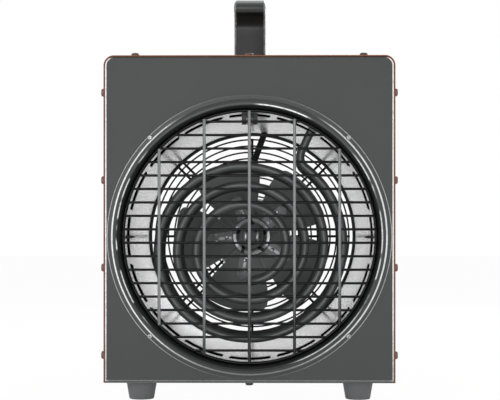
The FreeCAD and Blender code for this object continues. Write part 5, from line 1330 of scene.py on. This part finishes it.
class FANHEATER_OT_screws(bpy.types.Operator):
    """Set the screws with their cross recesses"""
    bl_idname = "fan_heater.screws"
    bl_label = "Screws"

    def execute(self, context):
        """Screws in rows up the sides, along the roof and by the base, and one in each quarter of the outlet ring and
        of the rear guard; a seeded draw turns each cross."""
        sizes = context.scene.fan_heater.fixing
        outlet = context.scene.fan_heater.outlet
        rear = context.scene.fan_heater.rear_guard
        lot = np.random.default_rng(7)
        wide, roof, floor = COVER_HIGH.x, COVER_HIGH.z, COVER_LOW.z
        heights = [floor + sizes.side_first + sizes.side_pitch * k for k in range(sizes.side_rows)]
        rows = (FRONT_Y + sizes.inset, REAR_Y - sizes.inset)
        middle = (FRONT_Y + REAR_Y) / 2
        pan = (sizes.head, sizes.head_height, sizes.shank, sizes.reach)
        small = (sizes.small_head, sizes.small_height, sizes.small_shank, sizes.small_reach)
        broad = (sizes.broad_head, *pan[1:])
        casing = [((side * wide, y, z), (side, 0, 0)) for side in (-1, 1) for y in rows for z in heights]
        casing += [((k * sizes.roof_pitch, y, roof), (0, 0, 1)) for y in rows for k in (-1, 0, 1)]
        base = [((side * wide, middle + k * sizes.sill_half, floor + sizes.sill_rise), (side, 0, 0))
                for side in (-1, 1) for k in (-1, 1)]
        base += [((0.0, y, floor), (0, 0, -1)) for y in rows]
        half = math.sqrt(0.5)
        corners = [(sx * half, sz * half) for sx in (-1, 1) for sz in (-1, 1)]
        ring = [((x * outlet.screw_place, FRONT_Y - outlet.ring_sheet, AXIS_Z + z * outlet.screw_place), (0, -1, 0))
                for x, z in corners]
        back = REAR_Y + rear.gap + rear.spoke
        lap = rear.inlet + sizes.guard_place
        guard = [((x * lap, back, AXIS_Z + z * lap), (0, 1, 0)) for x, z in corners]
        groups = (("casing_screws", casing, pan, "copper_screw", None),
                  ("base_screws", base, pan, "copper_screw", None),
                  ("outlet_ring_screws", ring, small, "black_screw", "ring_screw"),
                  ("rear_guard_screws", guard, broad, "black_screw", None))
        for node, places, form, slot, finish in groups:
            made = Piece()
            for at, way in places:
                self.screw(made, at, way, form, sizes.point, lot.uniform(0, math.pi))
            made.build(context, f"{node}_set", slot, node, finish=finish)
        return {"FINISHED"}

    @staticmethod
    def screw(made, at, way, form, point, turn):
        """Pan head over a pointed shank, turned about its line; the head's top sinks by a cross of two arms, each the
        set of points within w of a line through the middle and within l along it."""
        head, tall, shank, reach = form
        core = stacked(tall, head * np.linspace(0, 0.5, 7))
        crown = np.array(((0.985, 0.6), (0.93, 0.74), (0.8, 0.88), (0.6, 0.965), (0.4, 1.0), (0.0, 1.0)))
        below = [(0.0, shank), (-reach + point, shank), (-reach, 0.0)]
        profile = np.concatenate([core, crown * (tall, head), below])
        arm_long, arm_wide, sink = head * 0.46, head * 0.115, tall * 0.42

        def recessed(grid):
            x = grid[..., 0] * math.cos(turn) + grid[..., 1] * math.sin(turn)
            y = grid[..., 1] * math.cos(turn) - grid[..., 0] * math.sin(turn)
            far = np.minimum(np.maximum(np.abs(x) - arm_long, np.abs(y) - arm_wide),
                             np.maximum(np.abs(y) - arm_long, np.abs(x) - arm_wide))
            deep = np.clip(0.5 - far / (head * 0.07), 0, 1) * sink
            grid[..., 2] -= np.where(grid[..., 2] > tall * 0.9, deep, 0)
            return grid

        made.turned(profile, at, way, steps=32, shape=recessed)


class FANHEATER_OT_dials(bpy.types.Operator):
    """Print the ticks around the two knobs"""
    bl_idname = "fan_heater.dials"
    bl_label = "Dial ticks"

    def execute(self, context):
        """Flat bars on the rear panel along the spokes of a circle, from an inner to an outer radius; the first bar
        is where the knob's line points at rest and the last where it points at the end of its turn."""
        sizes = context.scene.fan_heater.dial
        box = [(0, 1, 2, 3), (7, 6, 5, 4), (0, 4, 5, 1), (1, 5, 6, 2), (2, 6, 7, 3), (3, 7, 4, 0)]
        made = Piece()
        for node, count, sweep in (("thermostat_knob", sizes.thermostat_ticks, sizes.thermostat_turn),
                                   ("selector_knob", sizes.selector_ticks, sizes.selector_turn)):
            low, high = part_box(node)
            centre = np.array(((low.x + high.x) / 2, REAR_Y, (low.z + high.z) / 2))
            for k in range(count):
                turn = math.pi / 2 + sweep * k / (count - 1)
                out = np.array((math.cos(turn), 0.0, math.sin(turn)))
                beside = np.array((-out[2], 0.0, out[0])) * (sizes.tick if k % 5 else sizes.main_tick)
                first, last = centre + out * sizes.inner, centre + out * sizes.outer
                ends = np.stack([first - beside, first + beside, last + beside, last - beside])
                made.add(np.concatenate([ends, ends + (0.0, sizes.print_height, 0.0)]), box)
        made.build(context, "dial_ticks", "panel_grey", finish="dial_mark")
        return {"FINISHED"}


class FANHEATER_OT_finishes(bpy.types.Operator):
    """Give every solid that stays its finish"""
    bl_idname = "fan_heater.finishes"
    bl_label = "Finishes of the solids"

    def execute(self, context):
        """The finish of a solid is that of its slot, apart from two that have their own."""
        own = {"fan_nut": "hub_nut", "base_plate": "base_zinc"}
        for name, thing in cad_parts.items():
            for place in thing.material_slots:
                place.material = finish_for(context, own.get(name, place.material.name.split(".")[0]))
        return {"FINISHED"}


class FANHEATER_OT_stage(bpy.types.Operator):
    """Set the floor, the lamps, the white surround and the camera"""
    bl_idname = "fan_heater.stage"
    bl_label = "Stage"

    def execute(self, context):
        sizes = context.scene.fan_heater.stage
        self.floor(sizes)
        self.world(context, sizes)
        middle = (0.0, 0.0, 0.18)
        # Name, place, target, width, height and power.
        lamps = (("lamp_front", (-0.12, FRONT_Y - 1.45, 0.30), AXIS, 0.5, 0.5, sizes.front_lamp),
                 ("lamp_left", (-1.3, FRONT_Y + 0.05, 0.5), middle, 0.6, 1.0, sizes.left_lamp),
                 ("lamp_right", (1.3, FRONT_Y + 0.05, 0.5), middle, 0.6, 1.0, sizes.right_lamp),
                 ("lamp_rear", (0.5, REAR_Y + 1.1, 0.75), middle, 0.6, 0.6, sizes.rear_lamp),
                 ("lamp_top", (0.0, 0.02, 1.75), middle, 0.8, 0.8, sizes.top_lamp))
        for lamp in lamps:
            self.lamp(context, *lamp)
        self.camera(context, sizes)
        context.scene.view_settings.view_transform = "Standard"
        return {"FINISHED"}

    @staticmethod
    def seen(tree):
        """One for rays that show the surround: from the camera, in a gloss or through something clear."""
        path = add(tree, "ShaderNodeLightPath").outputs
        camera, gloss, clear = (Field(tree, path[f"Is {kind} Ray"]) for kind in ("Camera", "Glossy", "Transmission"))
        return camera.most(gloss, clear)

    def floor(self, sizes):
        """A square grid on the ground, white to the eye with part of its own light and shade kept."""
        line = np.linspace(-0.5, 0.5, 9) * sizes.floor
        top = stacked(line, line[:, None], 0.0)
        made = Finish("floor_paper").effect(coat_grain(), 0.02, PAPER_RELIEF, Colour=(0.98, 0.98, 0.98, 1.0),
                                            Grain=300.0, Shade=0.01, Roughness=0.9, Spread=0.05)
        tree = made.tree
        glow = add(tree, "ShaderNodeEmission", {"Color": WHITE, "Strength": 1.0})
        both = add(tree, "ShaderNodeMixShader", {0: self.seen(tree) * sizes.floor_white, 1: made.shader.outputs[0],
                                                 2: glow.outputs[0]})
        tree.links.new(both.outputs[0], made.output.inputs["Surface"])
        upward = np.broadcast_to((0.0, 0.0, 1.0), top.shape)
        sheet = Piece().add(*thickened(top, upward, grid_faces(*top.shape[:2]), sizes.floor_sheet))
        sheet.meshed("floor", made.material)

    def world(self, context, sizes):
        """Plain white to the eye and a softer light on the object."""
        world = bpy.data.worlds.new("surround")
        world.use_nodes = True
        tree = world.node_tree
        tree.nodes.clear()
        soft = add(tree, "ShaderNodeBackground", {"Color": WHITE, "Strength": sizes.world})
        plain = add(tree, "ShaderNodeBackground", {"Color": WHITE, "Strength": 1.0})
        both = add(tree, "ShaderNodeMixShader", {0: self.seen(tree), 1: soft.outputs[0], 2: plain.outputs[0]})
        add(tree, "ShaderNodeOutputWorld", {"Surface": both.outputs[0]})
        context.scene.world = world

    @staticmethod
    def aim(thing, at, target):
        """Place a lamp or camera so that its -Z looks at the target."""
        thing.location = at
        thing.rotation_euler = (Vector(target) - Vector(at)).to_track_quat("-Z", "Y").to_euler()

    def lamp(self, context, name, at, target, wide, high, power):
        """Soft lamp with a lit rectangle."""
        data = bpy.data.lights.new(name, "AREA")
        data.shape = "RECTANGLE"
        data.size, data.size_y = wide, high
        data.energy = power
        thing = bpy.data.objects.new(name, data)
        context.scene.collection.objects.link(thing)
        self.aim(thing, at, target)

    def camera(self, context, sizes):
        """Level camera before the panel, shifted up to frame the object."""
        data = bpy.data.cameras.new("front_camera")
        data.sensor_width = 36.0
        data.sensor_fit = "HORIZONTAL"
        data.lens = sizes.lens
        data.shift_y = sizes.rise
        thing = bpy.data.objects.new("front_camera", data)
        context.scene.collection.objects.link(thing)
        self.aim(thing, (sizes.aside, FRONT_Y - sizes.distance, sizes.height), (sizes.aim, FRONT_Y, sizes.height))
        context.scene.camera = thing


OPERATORS = (
    FANHEATER_OT_casing, FANHEATER_OT_outlet, FANHEATER_OT_drum, FANHEATER_OT_tubes, FANHEATER_OT_fan,
    FANHEATER_OT_rear_guard, FANHEATER_OT_handle, FANHEATER_OT_feet, FANHEATER_OT_screws, FANHEATER_OT_dials,
    FANHEATER_OT_finishes, FANHEATER_OT_stage,
)


class FANHEATER_PT_pieces(bpy.types.Panel):
    """List of the pieces and the stage"""
    bl_idname = "FANHEATER_PT_pieces"
    bl_label = "Fan heater"
    bl_space_type = "VIEW_3D"
    bl_region_type = "UI"
    bl_category = "Fan heater"

    def draw(self, context):
        for operator in OPERATORS:
            self.layout.operator(operator.bl_idname)


CLASSES = (
    CasingSettings, OutletSettings, HeatSettings, FanSettings, RearGuardSettings, HandleSettings, FixingSettings,
    DialSettings, FinishSettings, StageSettings, FanHeaterSettings, *OPERATORS, FANHEATER_PT_pieces,
)


def register():
    for item in CLASSES:
        bpy.utils.register_class(item)
    bpy.types.Scene.fan_heater = PointerProperty(type=FanHeaterSettings)


def unregister():
    del bpy.types.Scene.fan_heater
    for item in reversed(CLASSES):
        bpy.utils.unregister_class(item)


def main():
    register()
    for operator in OPERATORS:
        group, name = operator.bl_idname.split(".")
        getattr(getattr(bpy.ops, group), name)()


if __name__ == "__main__":
    main()
